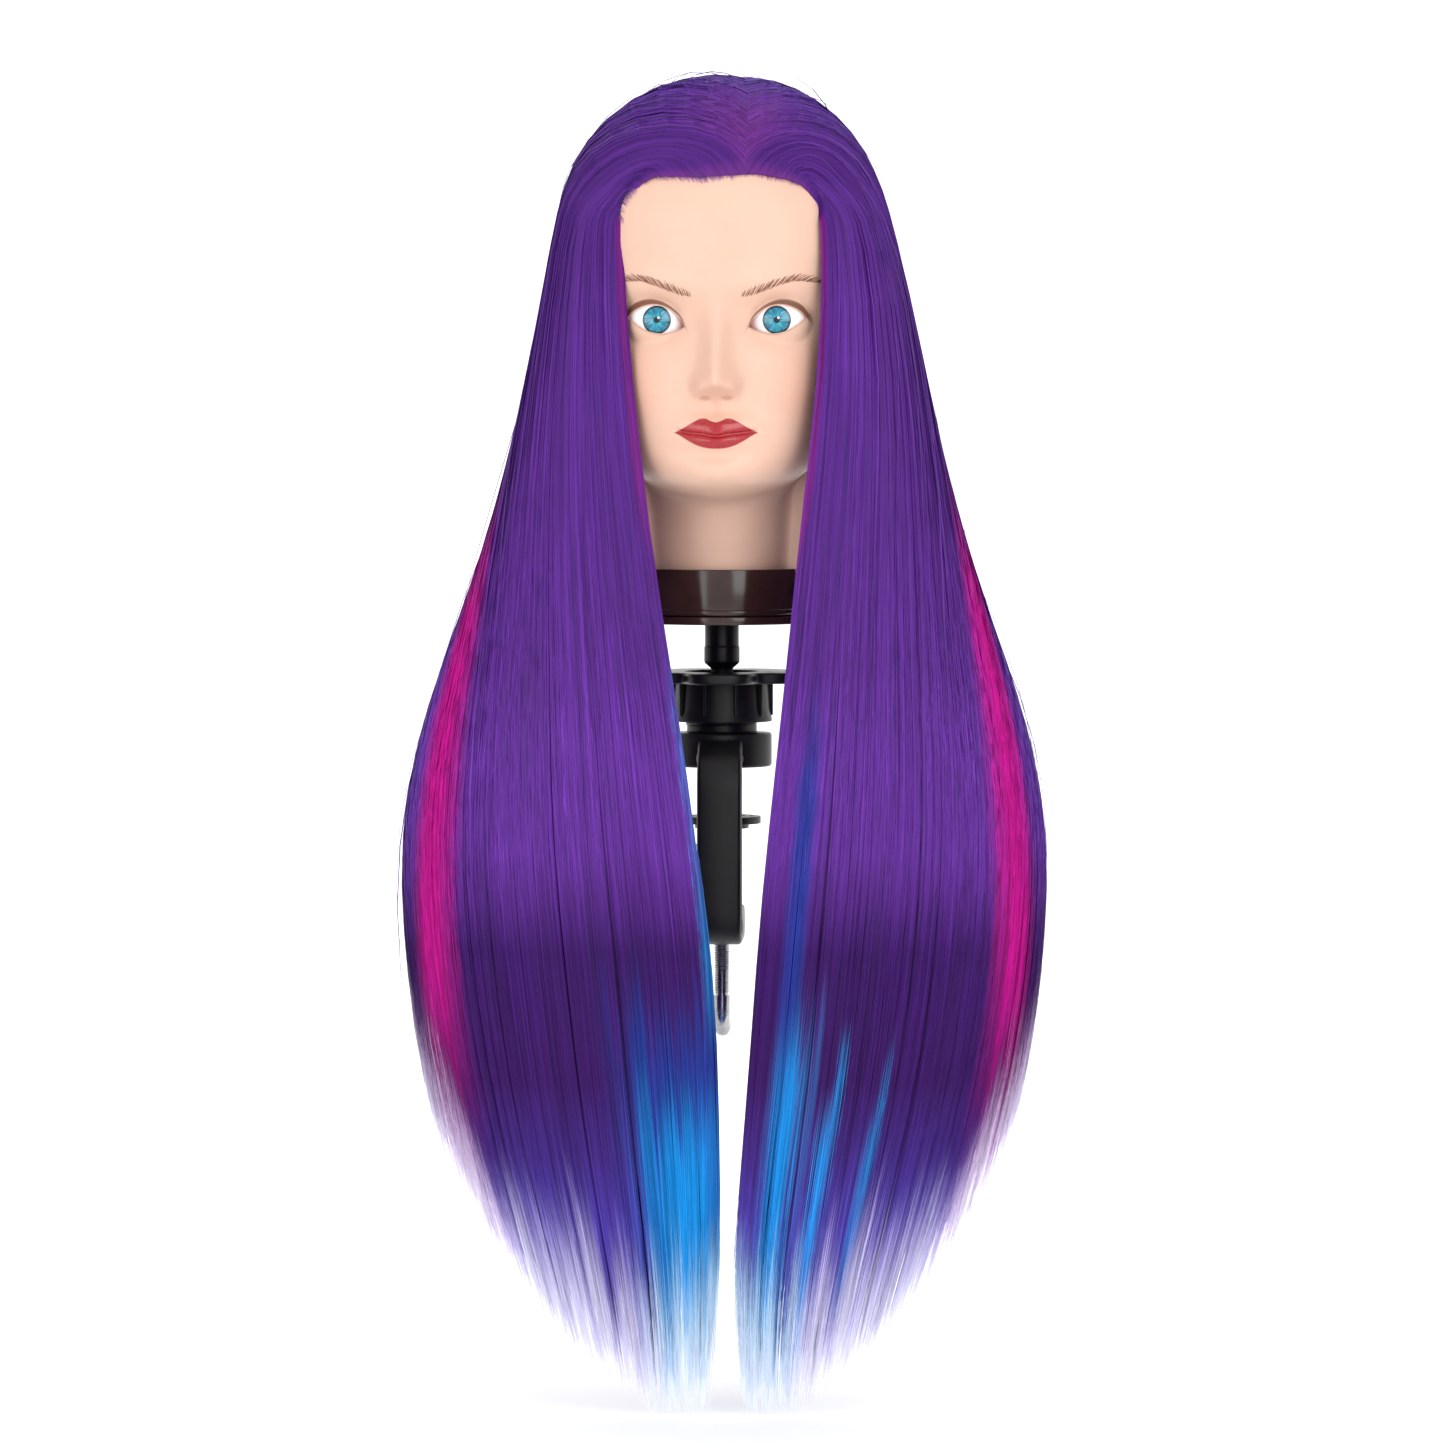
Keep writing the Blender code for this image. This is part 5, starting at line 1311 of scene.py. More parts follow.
def rounded(profile, radius, steps=4):
    """A profile with its corners rounded by short curves; the first and last points stay."""
    points = [np.array(p, float) for p in profile]
    found = [points[0]]
    for before, corner, after in zip(points, points[1:], points[2:]):
        reach = min(radius, np.linalg.norm(corner - before) * 0.45, np.linalg.norm(after - corner) * 0.45)
        start = corner + (before - corner) / max(np.linalg.norm(before - corner), 1e-9) * reach
        end = corner + (after - corner) / max(np.linalg.norm(after - corner), 1e-9) * reach
        for i in range(steps + 1):
            t = i / steps
            found.append(start * (1 - t) ** 2 + 2 * corner * t * (1 - t) + end * t**2)
    found.append(points[-1])
    return [tuple(p) for p in found]


def drawn_solid(name, outline, low, high, frame_axes, bevel=0.0, segments=4):
    """A flat outline filled and extruded from low to high. The axes say which way the outline's x and y
    and its thickness run."""
    deselect()
    across, up, through = (np.array(axis, float) for axis in frame_axes)
    points = np.array([across * x + up * y + through * low for x, y in outline])
    obj = mesh_piece(name, points, np.array([[0, 1, 2]]), smooth=False)
    activate(obj)
    mesh = obj.data
    mesh.clear_geometry()
    mesh.from_pydata([tuple(p) for p in points], [], [list(range(len(points)))])
    bpy.ops.object.mode_set(mode="EDIT")
    bpy.ops.mesh.select_all(action="SELECT")
    move = tuple(float(c) for c in through * (high - low))
    bpy.ops.mesh.extrude_region_move(TRANSFORM_OT_translate={"value": move})
    bpy.ops.mesh.select_all(action="SELECT")
    bpy.ops.mesh.normals_make_consistent(inside=False)
    bpy.ops.object.mode_set(mode="OBJECT")
    if bevel:
        rim = obj.modifiers.new("rims", "BEVEL")
        rim.width, rim.segments, rim.limit_method = bevel, segments, "ANGLE"
        rim.angle_limit = math.radians(50)
        apply_modifiers(obj)
    return obj


def combine(obj, other, operation="DIFFERENCE"):
    modifier = obj.modifiers.new("join", "BOOLEAN")
    modifier.object, modifier.operation, modifier.solver = other, operation, "EXACT"
    apply_modifiers(obj)
    bpy.data.objects.remove(other)
    return obj


def join(obj, *others):
    deselect()
    for other in others:
        other.select_set(True)
    obj.select_set(True)
    bpy.context.view_layer.objects.active = obj
    bpy.ops.object.join()
    return obj


def smooth_by_angle(obj, angle=32):
    activate(obj)
    bpy.ops.object.shade_smooth_by_angle(angle=math.radians(angle))
    return obj


def block(name, place, size, turn=0.0, bevel=0.0):
    """A box with rounded edges, turned about the upright axis."""
    deselect()
    bpy.ops.mesh.primitive_cube_add(size=1, location=place, rotation=(0, 0, turn), scale=size)
    obj = bpy.context.object
    obj.name = name
    apply_place(obj)
    if bevel:
        rim = obj.modifiers.new("rims", "BEVEL")
        rim.width, rim.segments = bevel, 3
        apply_modifiers(obj)
    return obj


def arc(centre, radius, start, end, count):
    """Points on an arc in (x, y), with its angles in degrees."""
    angles = np.radians(np.linspace(start, end, count + 1))
    return [(centre[0] + radius * math.cos(a), centre[1] + radius * math.sin(a)) for a in angles]


def screw_thread(name, root, crest, low, high, pitch, steps=32):
    """A helical thread round a plain core, closed inside the core."""
    turns = int((high - low) / pitch)
    count = turns * steps + 1
    angle = np.arange(count) * TURN / steps
    height = low + np.arange(count) * pitch / steps
    sunk = root - 0.25 * MM
    shape = ((sunk, 0.0), (root, 0.08), (crest, 0.42), (crest, 0.58), (root, 0.92), (sunk, 1.0))
    rise = np.minimum(1.0, np.minimum(np.arange(count), count - 1 - np.arange(count)) / (steps * 0.8))
    rings = []
    for radius, part in shape:
        out = sunk + (radius - sunk) * rise
        level = height + (part - 0.5) * pitch * 0.99
        rings.append(np.stack([out * np.cos(angle), out * np.sin(angle), level], -1))
    grid = np.stack(rings, 1)
    faces = ring_faces(count, len(shape), closed=True)
    obj = mesh_piece(name, grid.reshape(-1, 3), faces)
    close_up(obj)
    return smooth_by_angle(obj, 40)


# ---- table clamp ----------------------------------------------------------------------------------
def frame_outline():
    """The C frame from the side, as (distance from the screw's axis to the front, height) points."""
    top, jaw = JAW_HEIGHT - JAW_ROUND - 0.8 * MM, JAW_RADIUS - 8 * MM
    points = [(jaw, top)]
    points += arc((SPINE_OUTSIDE - 26 * MM, top - 26 * MM), 26 * MM, 90, 0, 20)
    points += arc((SPINE_OUTSIDE - 17 * MM, ARM_BOTTOM + 17 * MM), 17 * MM, 0, -90, 18)
    points += arc((ARM_HEIGHT / 2 - 22 * MM, ARM_BOTTOM + ARM_HEIGHT / 2), ARM_HEIGHT / 2, -90, -270, 24)
    points += arc((SPINE_INSIDE - 9 * MM, ARM_TOP + 9 * MM), 9 * MM, -90, 0, 10)
    points += arc((SPINE_INSIDE - 5 * MM, -4 * MM), 5 * MM, 0, 90, 8)
    return points + [(jaw, 1 * MM)]


def groove_outline():
    """The recess in each side of the spine, as (distance from the axis, height) points."""
    rim, foot_round = 4.5 * MM, 4 * MM
    outer, inner = SPINE_OUTSIDE - rim, SPINE_INSIDE + rim
    wide, floor = (outer - inner) / 2, ARM_BOTTOM + rim
    top = JAW_HEIGHT - JAW_ROUND - 14.8 * MM
    small = (ARM_HEIGHT - 2 * rim) / 2
    points = arc((outer - wide, top - wide), wide, 180, 0, 16)
    points += arc((outer - 12.5 * MM, floor + 12.5 * MM), 12.5 * MM, 0, -90, 12)
    points += arc((inner - 4 * MM, floor + small), small, -90, -270, 12)
    return points + arc((inner - foot_round, floor + 2 * small + foot_round), foot_round, -90, 0, 8)


def build_clamp_frame():
    """The C frame: a spine with a recess and a moulded dot in each side, the round jaw with its thread,
    and the bore for the ball."""
    half = FRAME_WIDTH / 2
    floor, clear = half - GROOVE_DEPTH, half + 3 * MM
    beam = drawn_solid("clamp_body", frame_outline(), -half, half, SIDE_AXES, 2 * MM)
    for low, high in ((floor, clear), (-clear, -floor)):
        combine(beam, drawn_solid("groove", groove_outline(), low, high, SIDE_AXES))
    edge = beam.modifiers.new("groove rims", "BEVEL")
    edge.width, edge.segments, edge.limit_method, edge.angle_limit = 0.5 * MM, 2, "ANGLE", math.radians(60)
    apply_modifiers(beam)
    root, face = THREAD_RADIUS - 1 * MM, JAW_RADIUS
    jaw = [(0, 0), (face, 0), (face, JAW_HEIGHT), (root, JAW_HEIGHT), (root, THREAD_TOP)]
    bore = THREAD_RADIUS - 3.1 * MM
    jaw += [(bore, THREAD_TOP), (bore, CUP_LOW.z - 0.3 * MM), (0, CUP_LOW.z - 0.3 * MM)]
    combine(beam, turned_piece("jaw", rounded(jaw, 1.6 * MM)), "UNION")
    rod = SCREW_HIGH.x + 0.4 * MM
    low, high = ARM_BOTTOM - MM, ARM_TOP + MM
    combine(beam, turned_piece("hole", [(0, low), (rod, low), (rod, high), (0, high)], 48))
    wide = 7.7 * MM
    pocket = [(wide * math.cos(a), wide * math.sin(a)) for a in np.radians(np.arange(30, 390, 60))]
    combine(beam, drawn_solid("pocket", pocket, ARM_TOP - 6.5 * MM, ARM_TOP + 2 * MM, FLAT_AXES))
    smooth_by_angle(beam, 30)
    low, high = JAW_HEIGHT + 2.4 * MM, THREAD_TOP - 0.6 * MM
    join(beam, screw_thread("thread", root, THREAD_RADIUS, low, high, 4 * MM, 72))
    dots = []
    for side in (-1, 1):
        deselect()
        place = (side * 10.9 * MM, -SPINE_INSIDE - 6 * MM, 5.5 * MM)
        bpy.ops.mesh.primitive_uv_sphere_add(
            segments=24, ring_count=12, radius=2.2 * MM, location=place, scale=(0.35, 1, 1)
        )
        dot = bpy.context.object
        apply_place(dot)
        dot.data.shade_smooth()
        dots.append(dot)
    return join(beam, *dots)


def build_star_nut():
    """The hand nut: a ribbed skirt under a flange of round lobes, hollow for the thread and the ball."""
    flange_low, skirt = NUT_HIGH.z - 5.5 * MM, THREAD_RADIUS + 5.5 * MM
    foot = NUT_LOW.z
    reach = -NUT_LOW.y
    outline = []
    for i in range(240):
        angle = TURN * i / 240
        radius = reach - 9 * MM * (0.5 - 0.5 * math.cos(5 * angle)) ** 3
        outline.append((radius * math.sin(angle), -radius * math.cos(angle)))
    nut = drawn_solid("star_nut_body", outline, flange_low, NUT_HIGH.z, FLAT_AXES, 1.4 * MM, 4)
    body = [(0, foot), (skirt + 1.2 * MM, foot), (skirt + 1.0 * MM, foot + 2 * MM), (skirt, foot + 6 * MM)]
    body += [(skirt - 0.8 * MM, flange_low + MM), (0, flange_low + MM)]
    combine(nut, turned_piece("skirt", rounded(body, 0.8 * MM)), "UNION")
    tall = flange_low + MM - foot - 3 * MM
    ribs = []
    for i in range(10):
        turn = TURN * i / 10
        place = (skirt * math.cos(turn), skirt * math.sin(turn), flange_low + MM - tall / 2)
        ribs.append(block(f"rib_{i}", place, (3.2 * MM, 1.6 * MM, tall), turn, 0.5 * MM))
    combine(nut, join(ribs[0], *ribs[1:]), "UNION")
    room, roof = THREAD_RADIUS + 0.3 * MM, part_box("friction_ring")[1].z + 0.3 * MM
    hollow = [(0, foot - MM), (room, foot - MM), (room, roof), (13 * MM, roof), (19 * MM, NUT_HIGH.z)]
    hollow += [(19 * MM, NUT_HIGH.z + 2 * MM), (0, NUT_HIGH.z + 2 * MM)]
    combine(nut, turned_piece("hollow", rounded(hollow, 0.6 * MM)))
    return smooth_by_angle(nut, 30)


def build_pad():
    """The pressure pad on the screw's end, with a ribbed gripping face and a hub for the screw."""
    radius, top, bottom = PAD_HIGH.x, PAD_HIGH.z, PAD_LOW.z
    plate, bore = top - 3.7 * MM, SCREW_HIGH.x + 0.3 * MM
    profile = [(0, bottom + 11 * MM), (bore, bottom + 11 * MM), (bore, bottom), (8 * MM, bottom)]
    step, under = 13.5 * MM, plate - 2.4 * MM
    profile += [(9 * MM, under), (step, under), (step, plate), (radius, plate), (radius, top)]
    low = top - 0.7 * MM
    for ring in (16.5 * MM, 12.5 * MM, 8.5 * MM, 4.5 * MM):
        profile += [(ring, top), (ring - 0.5 * MM, low), (ring - 1.5 * MM, low), (ring - 2 * MM, top)]
    return turned_piece("pad_body", rounded(profile + [(0, top)], 0.5 * MM, 3))


def build_screw():
    """The zinc-plated screw: threaded down to its bend, then a plain handle to the back."""
    radius = SCREW_HIGH.x
    bend, length = 11 * MM, SCREW_HIGH.y
    axis = SCREW_LOW.z + radius
    thread_low = axis + bend + 6 * MM
    core = turned_piece("core", [(0, thread_low - MM), (radius - 0.75 * MM, thread_low - MM),
                                 (radius - 0.75 * MM, SCREW_HIGH.z - 0.6 * MM),
                                 (radius - 1.2 * MM, SCREW_HIGH.z), (0, SCREW_HIGH.z)], 40)
    curve = bpy.data.curves.new("handle", "CURVE")
    curve.dimensions, curve.bevel_depth, curve.bevel_resolution, curve.use_fill_caps = "3D", radius, 8, True
    points = [(0, 0, thread_low + 0.4 * MM), (0, 0, axis + bend + MM)]
    points += [(0, y, z) for y, z in arc((bend, axis + bend), bend, 180, 270, 20)]
    points += [(0, length - 0.8 * MM, axis)]
    spline = curve.splines.new("POLY")
    spline.points.add(len(points) - 1)
    for point, place in zip(spline.points, points):
        point.co = (*place, 1)
    handle = bpy.data.objects.new("handle", curve)
    bpy.context.scene.collection.objects.link(handle)
    activate(handle)
    bpy.ops.object.convert(target="MESH")
    handle = bpy.context.object
    bpy.ops.object.mode_set(mode="EDIT")
    bpy.ops.mesh.select_all(action="SELECT")
    bpy.ops.mesh.remove_doubles(threshold=0.001 * MM)
    bpy.ops.mesh.normals_make_consistent(inside=False)
    bpy.ops.object.mode_set(mode="OBJECT")
    rim = handle.modifiers.new("rims", "BEVEL")
    rim.width, rim.segments, rim.limit_method, rim.angle_limit = 0.7 * MM, 3, "ANGLE", math.radians(60)
    apply_modifiers(handle)
    smooth_by_angle(handle, 40)
    thread = screw_thread("screw_thread", radius - 0.75 * MM, radius - 0.02 * MM, thread_low + MM,
                          SCREW_HIGH.z - 1.2 * MM, 1.25 * MM, 24)
    return join(handle, core, thread)


def build_post():
    """The ball post: the ball, its thin neck, the shaft with its band and the core inside the sleeve."""
    ball = 15 * MM
    centre = POST_LOW.z + ball
    neck, shaft, core, start = 5.5 * MM, 8.5 * MM, 6 * MM, 51.5 * MM
    rise = math.sqrt(ball**2 - neck**2)
    heights = np.linspace(-math.pi / 2, math.asin(rise / ball), 26)
    profile = [(ball * math.cos(a), centre + ball * math.sin(a)) for a in heights]
    upper = [(neck, centre + rise), (neck, start - 2.5 * MM), (shaft, start), (shaft + 0.4 * MM, start + MM)]
    upper += [(shaft + 0.4 * MM, start + 8 * MM), (shaft, start + 9 * MM), (shaft, SLEEVE_LOW.z - 0.3 * MM)]
    upper += [(core, SLEEVE_LOW.z - 0.3 * MM), (core, POST_HIGH.z), (0, POST_HIGH.z)]
    return turned_piece("post_body", profile[:-1] + rounded(upper, 0.6 * MM, 3), 64)


def build_sleeve():
    """The tapered sleeve with round flutes and bevelled ends."""
    steps, flutes, top, foot = 288, 12, 11.5 * MM, 13 * MM
    low, high = SLEEVE_LOW.z, SLEEVE_HIGH.z
    rings = []
    taper = (
        (low, 9 * MM, 0.2), (low + MM, 9.8 * MM, 0.5),
        (low + 7 * MM, foot - 0.2 * MM, 1), (low + 8 * MM, foot, 1),
        (high - 3 * MM, top, 1), (high - 1 * MM, top - 0.5 * MM, 1),
        (high, top - 1.4 * MM, 0.8), (high, 6.4 * MM, 0),
        (high - 2 * MM, 6.3 * MM, 0), (low + MM, 6.3 * MM, 0), (low, 6.5 * MM, 0),
    )
    for height, radius, fluted in taper:
        angle = np.arange(steps) * TURN / steps
        edge = radius - 1.5 * MM * fluted * np.maximum(0, np.cos(flutes * angle)) ** 0.7
        rings.append(np.stack([edge * np.cos(angle), edge * np.sin(angle), np.full(steps, height)], -1))
    grid = np.array(rings)
    faces = ring_faces(len(grid), steps, closed=True)
    last = len(grid) - 1
    column = np.arange(steps)
    beside = (column + 1) % steps
    closing = np.stack([last * steps + column, last * steps + beside, beside, column], -1)
    obj = mesh_piece("sleeve_body", grid.reshape(-1, 3), np.concatenate([faces, closing]))
    face_outwards(obj)
    return smooth_by_angle(obj, 28)


def build_collar():
    """The glossy collar: a plain band with a parting line low down and softened rims."""
    outer, low, high = COLLAR_HIGH.x, COLLAR_LOW.z, COLLAR_HIGH.z
    inner = outer - 4 * MM
    profile = [(inner, low), (outer - 0.6 * MM, low), (outer, low + MM), (outer, low + 2.6 * MM)]
    profile += [(outer - 0.3 * MM, low + 2.9 * MM), (outer, low + 3.2 * MM), (outer, high), (inner, high)]
    profile = rounded(profile + [(inner, low)], 0.7 * MM, 3)[:-1]
    return turned_piece("collar_band", profile, 144, closed=True)


def build_plate():
    """The plug in the neck: a disc that closes the collar, with ribs in the recess underneath."""
    rim, low, high = PLATE_HIGH.x, PLATE_LOW.z, PLATE_LOW.z + 4 * MM
    hub, web = 16 * MM, high - 1.5 * MM
    plug = rim - 9.4 * MM - 0.8 * MM
    profile = [(hub, low), (hub + 3 * MM, low), (hub + 3 * MM, web), (rim - 5 * MM, web), (rim - 5 * MM, low)]
    profile += [(rim, low), (rim, high), (plug, high), (plug, PLATE_HIGH.z), (plug - 2.6 * MM, PLATE_HIGH.z)]
    profile += [(plug - 2.6 * MM, high), (hub, high), (hub, low)]
    plate = turned_piece("neck_plate", rounded(profile, 0.7 * MM, 3)[:-1], 144, closed=True)
    ribs = []
    long = rim - hub - 8 * MM + 1 * MM
    for i in range(6):
        turn = TURN * i / 6
        middle = (rim - 5 * MM + hub + 3 * MM) / 2
        place = (middle * math.cos(turn), middle * math.sin(turn), (low + web) / 2 + 0.2 * MM)
        ribs.append(block(f"plate_rib_{i}", place, (long, 2 * MM, web - low), turn, 0.3 * MM))
    for rib in ribs:
        smooth_by_angle(rib, 30)
    return join(plate, *ribs)


def build_socket():
    """The blind tube in the neck that the fluted sleeve enters."""
    low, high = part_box("socket_tube")
    bore, outer, seat = 13.3 * MM, 15.7 * MM, 76.3 * MM
    profile = [(0, SLEEVE_HIGH.z + 0.3 * MM), (bore, SLEEVE_HIGH.z + 0.3 * MM), (bore, low.z), (outer, low.z)]
    profile += [(outer, seat), (high.x, seat), (high.x, seat + 2.4 * MM), (outer, seat + 2.4 * MM)]
    profile += [(outer, high.z), (0, high.z)]
    return turned_piece("socket_body", rounded(profile, 0.5 * MM, 2), 96)


# ---- operators ----------------------------------------------------------------------------------
class HEAD_OT_skin(bpy.types.Operator):
    """Builds the vinyl head with its eye openings and paint."""

    bl_idname = "training_head.skin"
    bl_label = "Head"

    def execute(self, context):
        settings = context.scene.head_skin_settings
        vinyl = painted_vinyl(settings)
        rim, nodes, shader = new_material("lid_rim")
        place = nodes.add("TexCoord").outputs["Object"]
        tone = nodes.smooth(nodes.noise(place, 300.0, 2.0), 0.3, 0.7)
        nodes.put(shader.inputs["Base Color"], nodes.mix(tone, (0.55, 0.20, 0.13), (0.42, 0.14, 0.09)))
        shader.inputs["Roughness"].default_value = 0.35
        head = build_skin()
        head.data.materials.append(vinyl)
        head.data.materials.append(rim)
        for side in (-1, 1):
            cut_eye_opening(head, side, rim)
        head.name = head.data.name = "head_skin"
        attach(head, "head")
        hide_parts("head_shell")
        brows = build_brows(face_tree(head), np.random.default_rng(11))
        finish_piece(brows, "brows", "vinyl_skin", brow_paint(settings), "head")
        return {"FINISHED"}


class HEAD_OT_eyes(bpy.types.Operator):
    """Builds the two painted eyeballs."""

    bl_idname = "training_head.eyes"
    bl_label = "Eyes"

    def execute(self, context):
        material = eyeball_acrylic(context.scene.head_skin_settings)
        for side, hand in SIDES:
            finish_piece(build_eye(side), f"eyeball_{hand}", "eye_acrylic", material, "head", [f"eye_{hand}"])
        return {"FINISHED"}


class HEAD_OT_hair(bpy.types.Operator):
    """Builds the body of the hair and the strands over it, on both sides of the parting."""

    bl_idname = "training_head.hair"
    bl_label = "Hair"

    def execute(self, context):
        settings = context.scene.head_hair_settings
        random = np.random.default_rng(7)
        count = settings.strands
        for side, hand in SIDES:
            material = dyed_hair(f"dyed_hair_{hand}", side, settings)
            pieces = [hair_mass(side, f"hair_body_{hand}", random)]
            outer = (("front", (0.0, 0.36)), ("middle", (0.32, 0.62)), ("back", (0.58, 1.0)))
            layers = [(f"strands_{part}", shares, (0.0, 0.09), None, 0.0016) for part, shares in outer]
            layers.append(("inside", (0.0, 1.0), (0.86, 1.0), 0.25, 0.0))
            layers.append(("ends", (0.0, 1.0), (0.05, 0.95), 0.55, 0.0))
            for layer, shares, shells, top, stray in layers:
                name = f"hair_{layer}_{hand}"
                strands = hair_strands(side, name, count, shares, shells, settings, random, top, stray)
                pieces.append(strands)
            for piece in pieces:
                finish_piece(piece, piece.name, "purple_hair", material)
                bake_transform(piece)
            nodes = [f"hair_{lock}_{hand}" for lock in ("inner", "front", "outer", "side", "nape")]
            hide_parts(*nodes)
            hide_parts("hair_crown", "hair_back")
        tree = face_tree(bpy.data.objects["head_skin"])
        fuzz = hair_fuzz(tree, "hairline_fuzz", random)
        finish_piece(fuzz, "hairline_fuzz", "purple_hair", fuzz_hair(settings), "head")
        return {"FINISHED"}


class HEAD_OT_clamp(bpy.types.Operator):
    """Builds the table clamp: its frame, screw, pad, star nut, ball post and fluted sleeve."""

    bl_idname = "training_head.clamp"
    bl_label = "Table Clamp"

    def execute(self, context):
        settings = context.scene.head_clamp_settings
        black = moulded_plastic("black_plastic_moulded", tuple(settings.black), 0.34, grain=0.10)
        zinc = plated_steel("zinc_plating", tuple(settings.zinc))
        grey = moulded_plastic("grey_plastic_moulded", tuple(settings.grey), 0.45)
        pieces = (
            (build_clamp_frame, "clamp_body", "black_plastic", black, "clamp_frame", ["clamp_frame"]),
            (build_star_nut, "star_nut_body", "black_plastic", black, "star_nut", ["star_nut"]),
            (build_pad, "pad_body", "black_plastic", black, "pressure_pad", ["pressure_pad"]),
            (build_screw, "screw_body", "zinc_steel", zinc, "clamp_screw", ["clamp_screw"]),
            (build_post, "post_body", "black_plastic", black, "post", ["ball_post"]),
            (build_sleeve, "sleeve_body", "black_plastic", black, "post", ["fluted_sleeve"]),
        )
        for build, *about in pieces:
            finish_piece(build(), *about)
        for node, material in (("captive_nut", zinc), ("friction_ring", grey), ("swivel_cup", grey)):
            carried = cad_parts[node].data
            carried.materials.clear()
            carried.materials.append(material)
        return {"FINISHED"}


class HEAD_OT_collar(bpy.types.Operator):
    """Builds the collar round the neck, its plate and the socket inside."""

    bl_idname = "training_head.collar"
    bl_label = "Collar"

    def execute(self, context):
        settings = context.scene.head_clamp_settings
        brown = moulded_plastic("brown_plastic_glossy", tuple(settings.brown), 0.16, 0.03, 0.06, coat=0.35)
        grey = moulded_plastic("grey_socket", tuple(settings.grey), 0.45)
        finish_piece(build_collar(), "collar_band", "brown_plastic", brown, "head", ["collar_ring"])
        finish_piece(build_plate(), "neck_plate", "brown_plastic", brown, "head", ["base_plate"])
        finish_piece(build_socket(), "socket_body", "grey_plastic", grey, "head", ["socket_tube"])
        return {"FINISHED"}


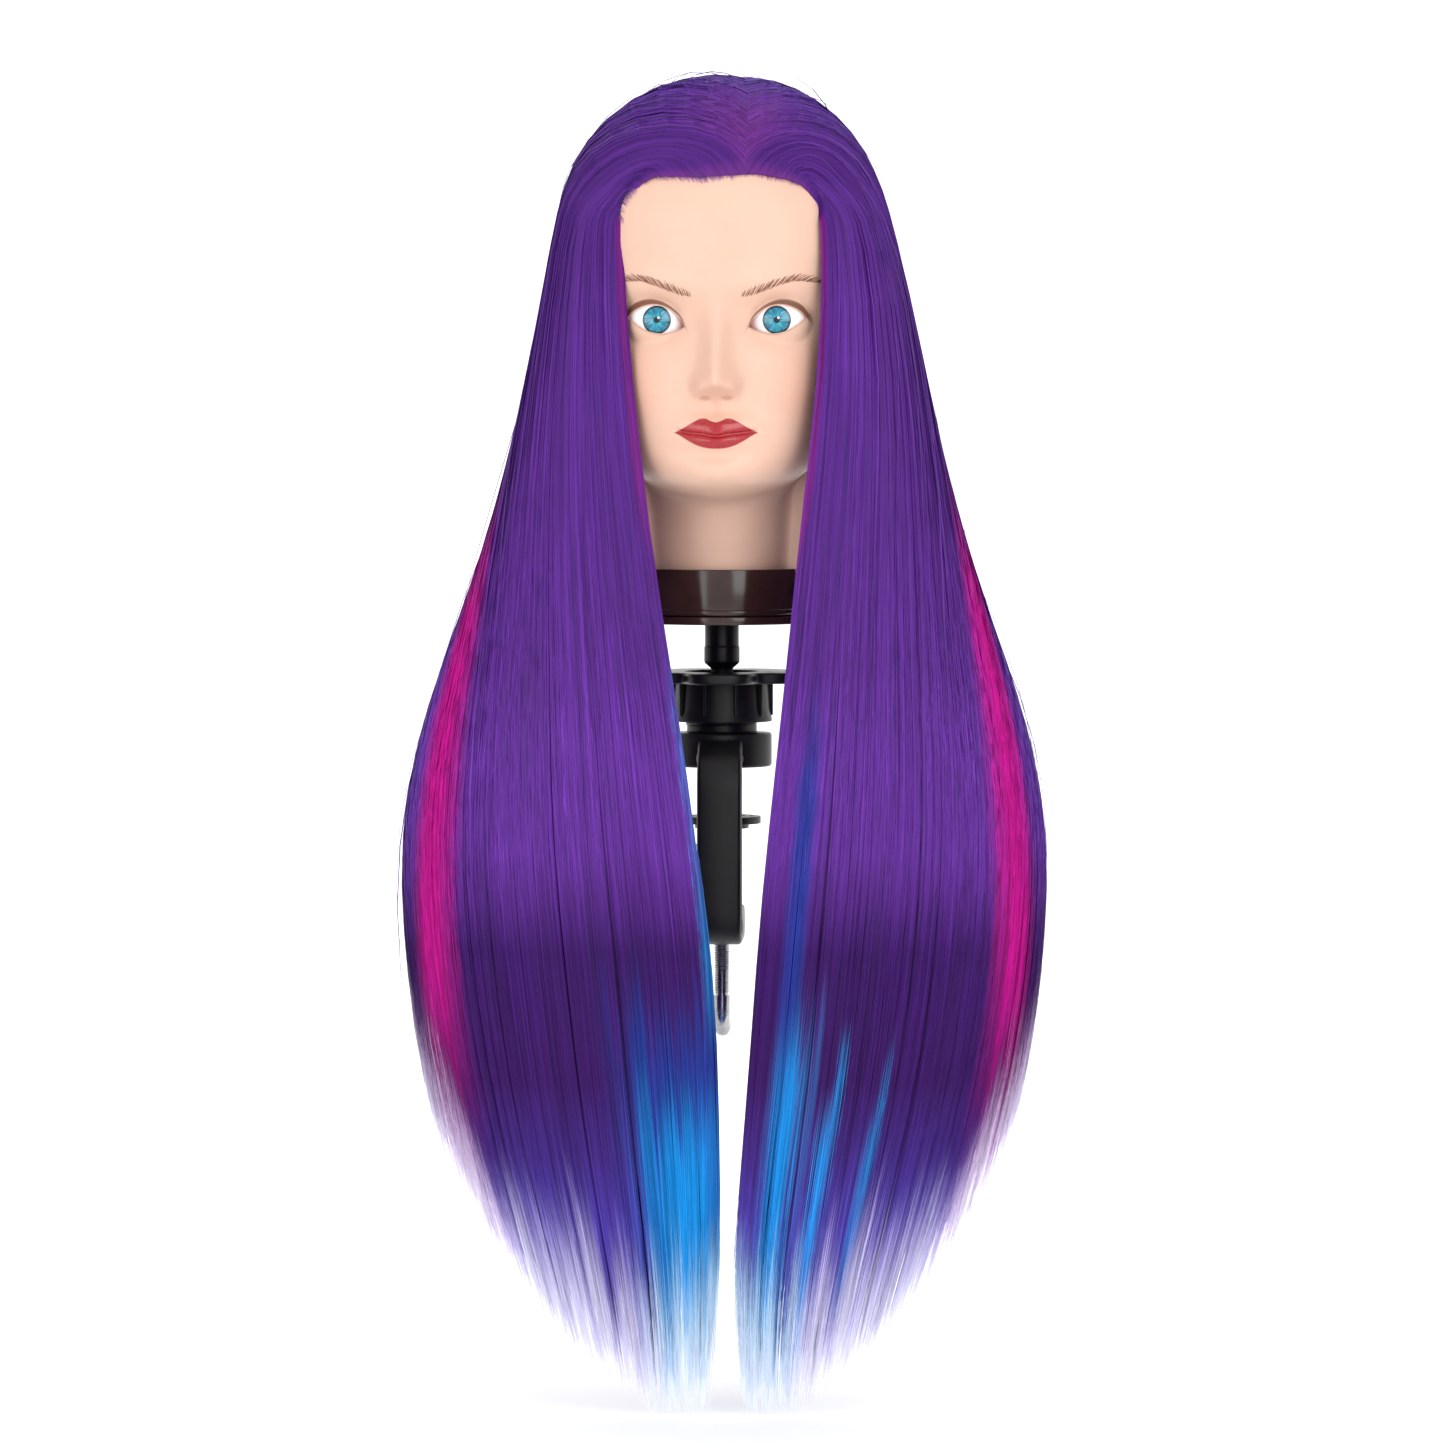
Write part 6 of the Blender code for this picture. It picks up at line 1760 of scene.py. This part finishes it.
class HEAD_OT_stage(bpy.types.Operator):
    """Builds the pale floor and backdrop, the soft lights and the camera."""

    bl_idname = "training_head.stage"
    bl_label = "Stage"

    def execute(self, context):
        settings = context.scene.head_stage_settings
        deselect()
        bpy.ops.mesh.primitive_plane_add(size=FLOOR_SPAN, location=(0, 0, CAD_BOX[0].z - FLOOR_GAP))
        floor = context.object
        floor.name = "floor"
        activate(floor)
        bpy.ops.object.mode_set(mode="EDIT")
        bpy.ops.mesh.select_mode(type="EDGE")
        bpy.ops.mesh.select_all(action="DESELECT")
        bpy.ops.object.mode_set(mode="OBJECT")
        for edge in floor.data.edges:
            edge.select = all(floor.data.vertices[v].co.y > 1 for v in edge.vertices)
        bpy.ops.object.mode_set(mode="EDIT")
        bpy.ops.mesh.extrude_region_move(TRANSFORM_OT_translate={"value": (0, 0, WALL_HEIGHT)})
        bpy.ops.object.mode_set(mode="OBJECT")
        bevel = floor.modifiers.new("sweep", "BEVEL")
        bevel.width, bevel.segments = SWEEP, 24
        apply_modifiers(floor)
        floor.data.shade_smooth()
        material, nodes, shader = new_material("studio_paper")
        place = nodes.add("TexCoord").outputs["Object"]
        tone = nodes.smooth(nodes.noise(place, 2.0, 2.0), 0.3, 0.7)
        wall = tuple(settings.wall)
        nodes.put(shader.inputs["Base Color"], nodes.mix(tone, wall, tuple(0.99 * c for c in wall)))
        shader.inputs["Roughness"].default_value = 0.95
        shader.inputs["Specular IOR Level"].default_value = 0.1
        # The paper is clear from behind and from below, so it never hides the head from a camera there.
        clear = nodes.add("BsdfTransparent")
        sides = nodes.add("MixShader")
        back = nodes.add("NewGeometry").outputs["Backfacing"]
        nodes.put(sides.inputs[0], back)
        nodes.put(sides.inputs[1], shader.outputs[0])
        nodes.put(sides.inputs[2], clear.outputs[0])
        output = next(n for n in material.node_tree.nodes if n.type == "OUTPUT_MATERIAL")
        nodes.put(output.inputs["Surface"], sides.outputs[0])
        floor.data.materials.append(material)

        world = bpy.data.worlds.new("studio")
        world.use_nodes = True
        world.node_tree.nodes["Background"].inputs["Color"].default_value = (1, 1, 1, 1)
        world.node_tree.nodes["Background"].inputs["Strength"].default_value = 1.0
        context.scene.world = world
        lights = (
            ("key", (1.3, -2.1, 0.75), 1.5, settings.key),
            ("fill", (-1.4, -2.1, 0.15), 1.5, settings.key * 0.85),
            ("top", (0, -0.2, 2.2), 1.4, settings.key * 0.3),
            ("wall", (0, 1.4, 2.6), 2.5, settings.key * 3.0),
        )
        for name, place, size, power in lights:
            lamp = bpy.data.lights.new(name, "AREA")
            lamp.energy, lamp.size = power, size
            light = bpy.data.objects.new(name, lamp)
            light.location = place
            aim = Vector((0, 4.4, 0.3)) if name == "wall" else Vector((0, 0, 0.05))
            light.rotation_euler = (aim - Vector(place)).to_track_quat("-Z", "Y").to_euler()
            context.scene.collection.objects.link(light)

        camera = bpy.data.cameras.new("camera")
        camera.sensor_width = 36
        camera.lens = 36 * settings.away / settings.span
        view = bpy.data.objects.new("camera", camera)
        aim = Vector((0.0003, 0, 0.02175))
        rise = settings.away * math.tan(settings.raised)
        away = (math.sin(settings.turned) * settings.away, -math.cos(settings.turned) * settings.away)
        view.location = (*away, aim.z + rise)
        look = aim - view.location
        view.rotation_euler = look.to_track_quat("-Z", "Y").to_euler()
        camera.clip_start, camera.clip_end = 0.1, 30
        context.scene.collection.objects.link(view)
        context.scene.camera = view
        context.scene.view_settings.view_transform = "Standard"
        return {"FINISHED"}


class HEAD_PT_panel(bpy.types.Panel):
    """Lists the pieces of the training head and their settings."""

    bl_idname = "HEAD_PT_panel"
    bl_label = "Training Head"
    bl_space_type = "VIEW_3D"
    bl_region_type = "UI"
    bl_category = "Training Head"

    def draw(self, context):
        for group in SETTINGS:
            settings = getattr(context.scene, group)
            for name in settings.bl_rna.properties.keys():
                if name not in ("rna_type", "name"):
                    self.layout.prop(settings, name)
        for operator in OPERATORS:
            self.layout.operator(operator.bl_idname)


SETTINGS = {
    "head_hair_settings": HairSettings,
    "head_skin_settings": SkinSettings,
    "head_clamp_settings": ClampSettings,
    "head_stage_settings": StageSettings,
}
OPERATORS = (HEAD_OT_clamp, HEAD_OT_collar, HEAD_OT_skin, HEAD_OT_eyes, HEAD_OT_hair, HEAD_OT_stage)


def register():
    for group, kind in SETTINGS.items():
        bpy.utils.register_class(kind)
        setattr(bpy.types.Scene, group, bpy.props.PointerProperty(type=kind))
    for operator in OPERATORS:
        bpy.utils.register_class(operator)
    bpy.utils.register_class(HEAD_PT_panel)


def unregister():
    bpy.utils.unregister_class(HEAD_PT_panel)
    for operator in reversed(OPERATORS):
        bpy.utils.unregister_class(operator)
    for group, kind in reversed(SETTINGS.items()):
        delattr(bpy.types.Scene, group)
        bpy.utils.unregister_class(kind)


def main():
    register()
    for operator in OPERATORS:
        group, name = operator.bl_idname.split(".")
        getattr(getattr(bpy.ops, group), name)()


if __name__ == "__main__":
    main()
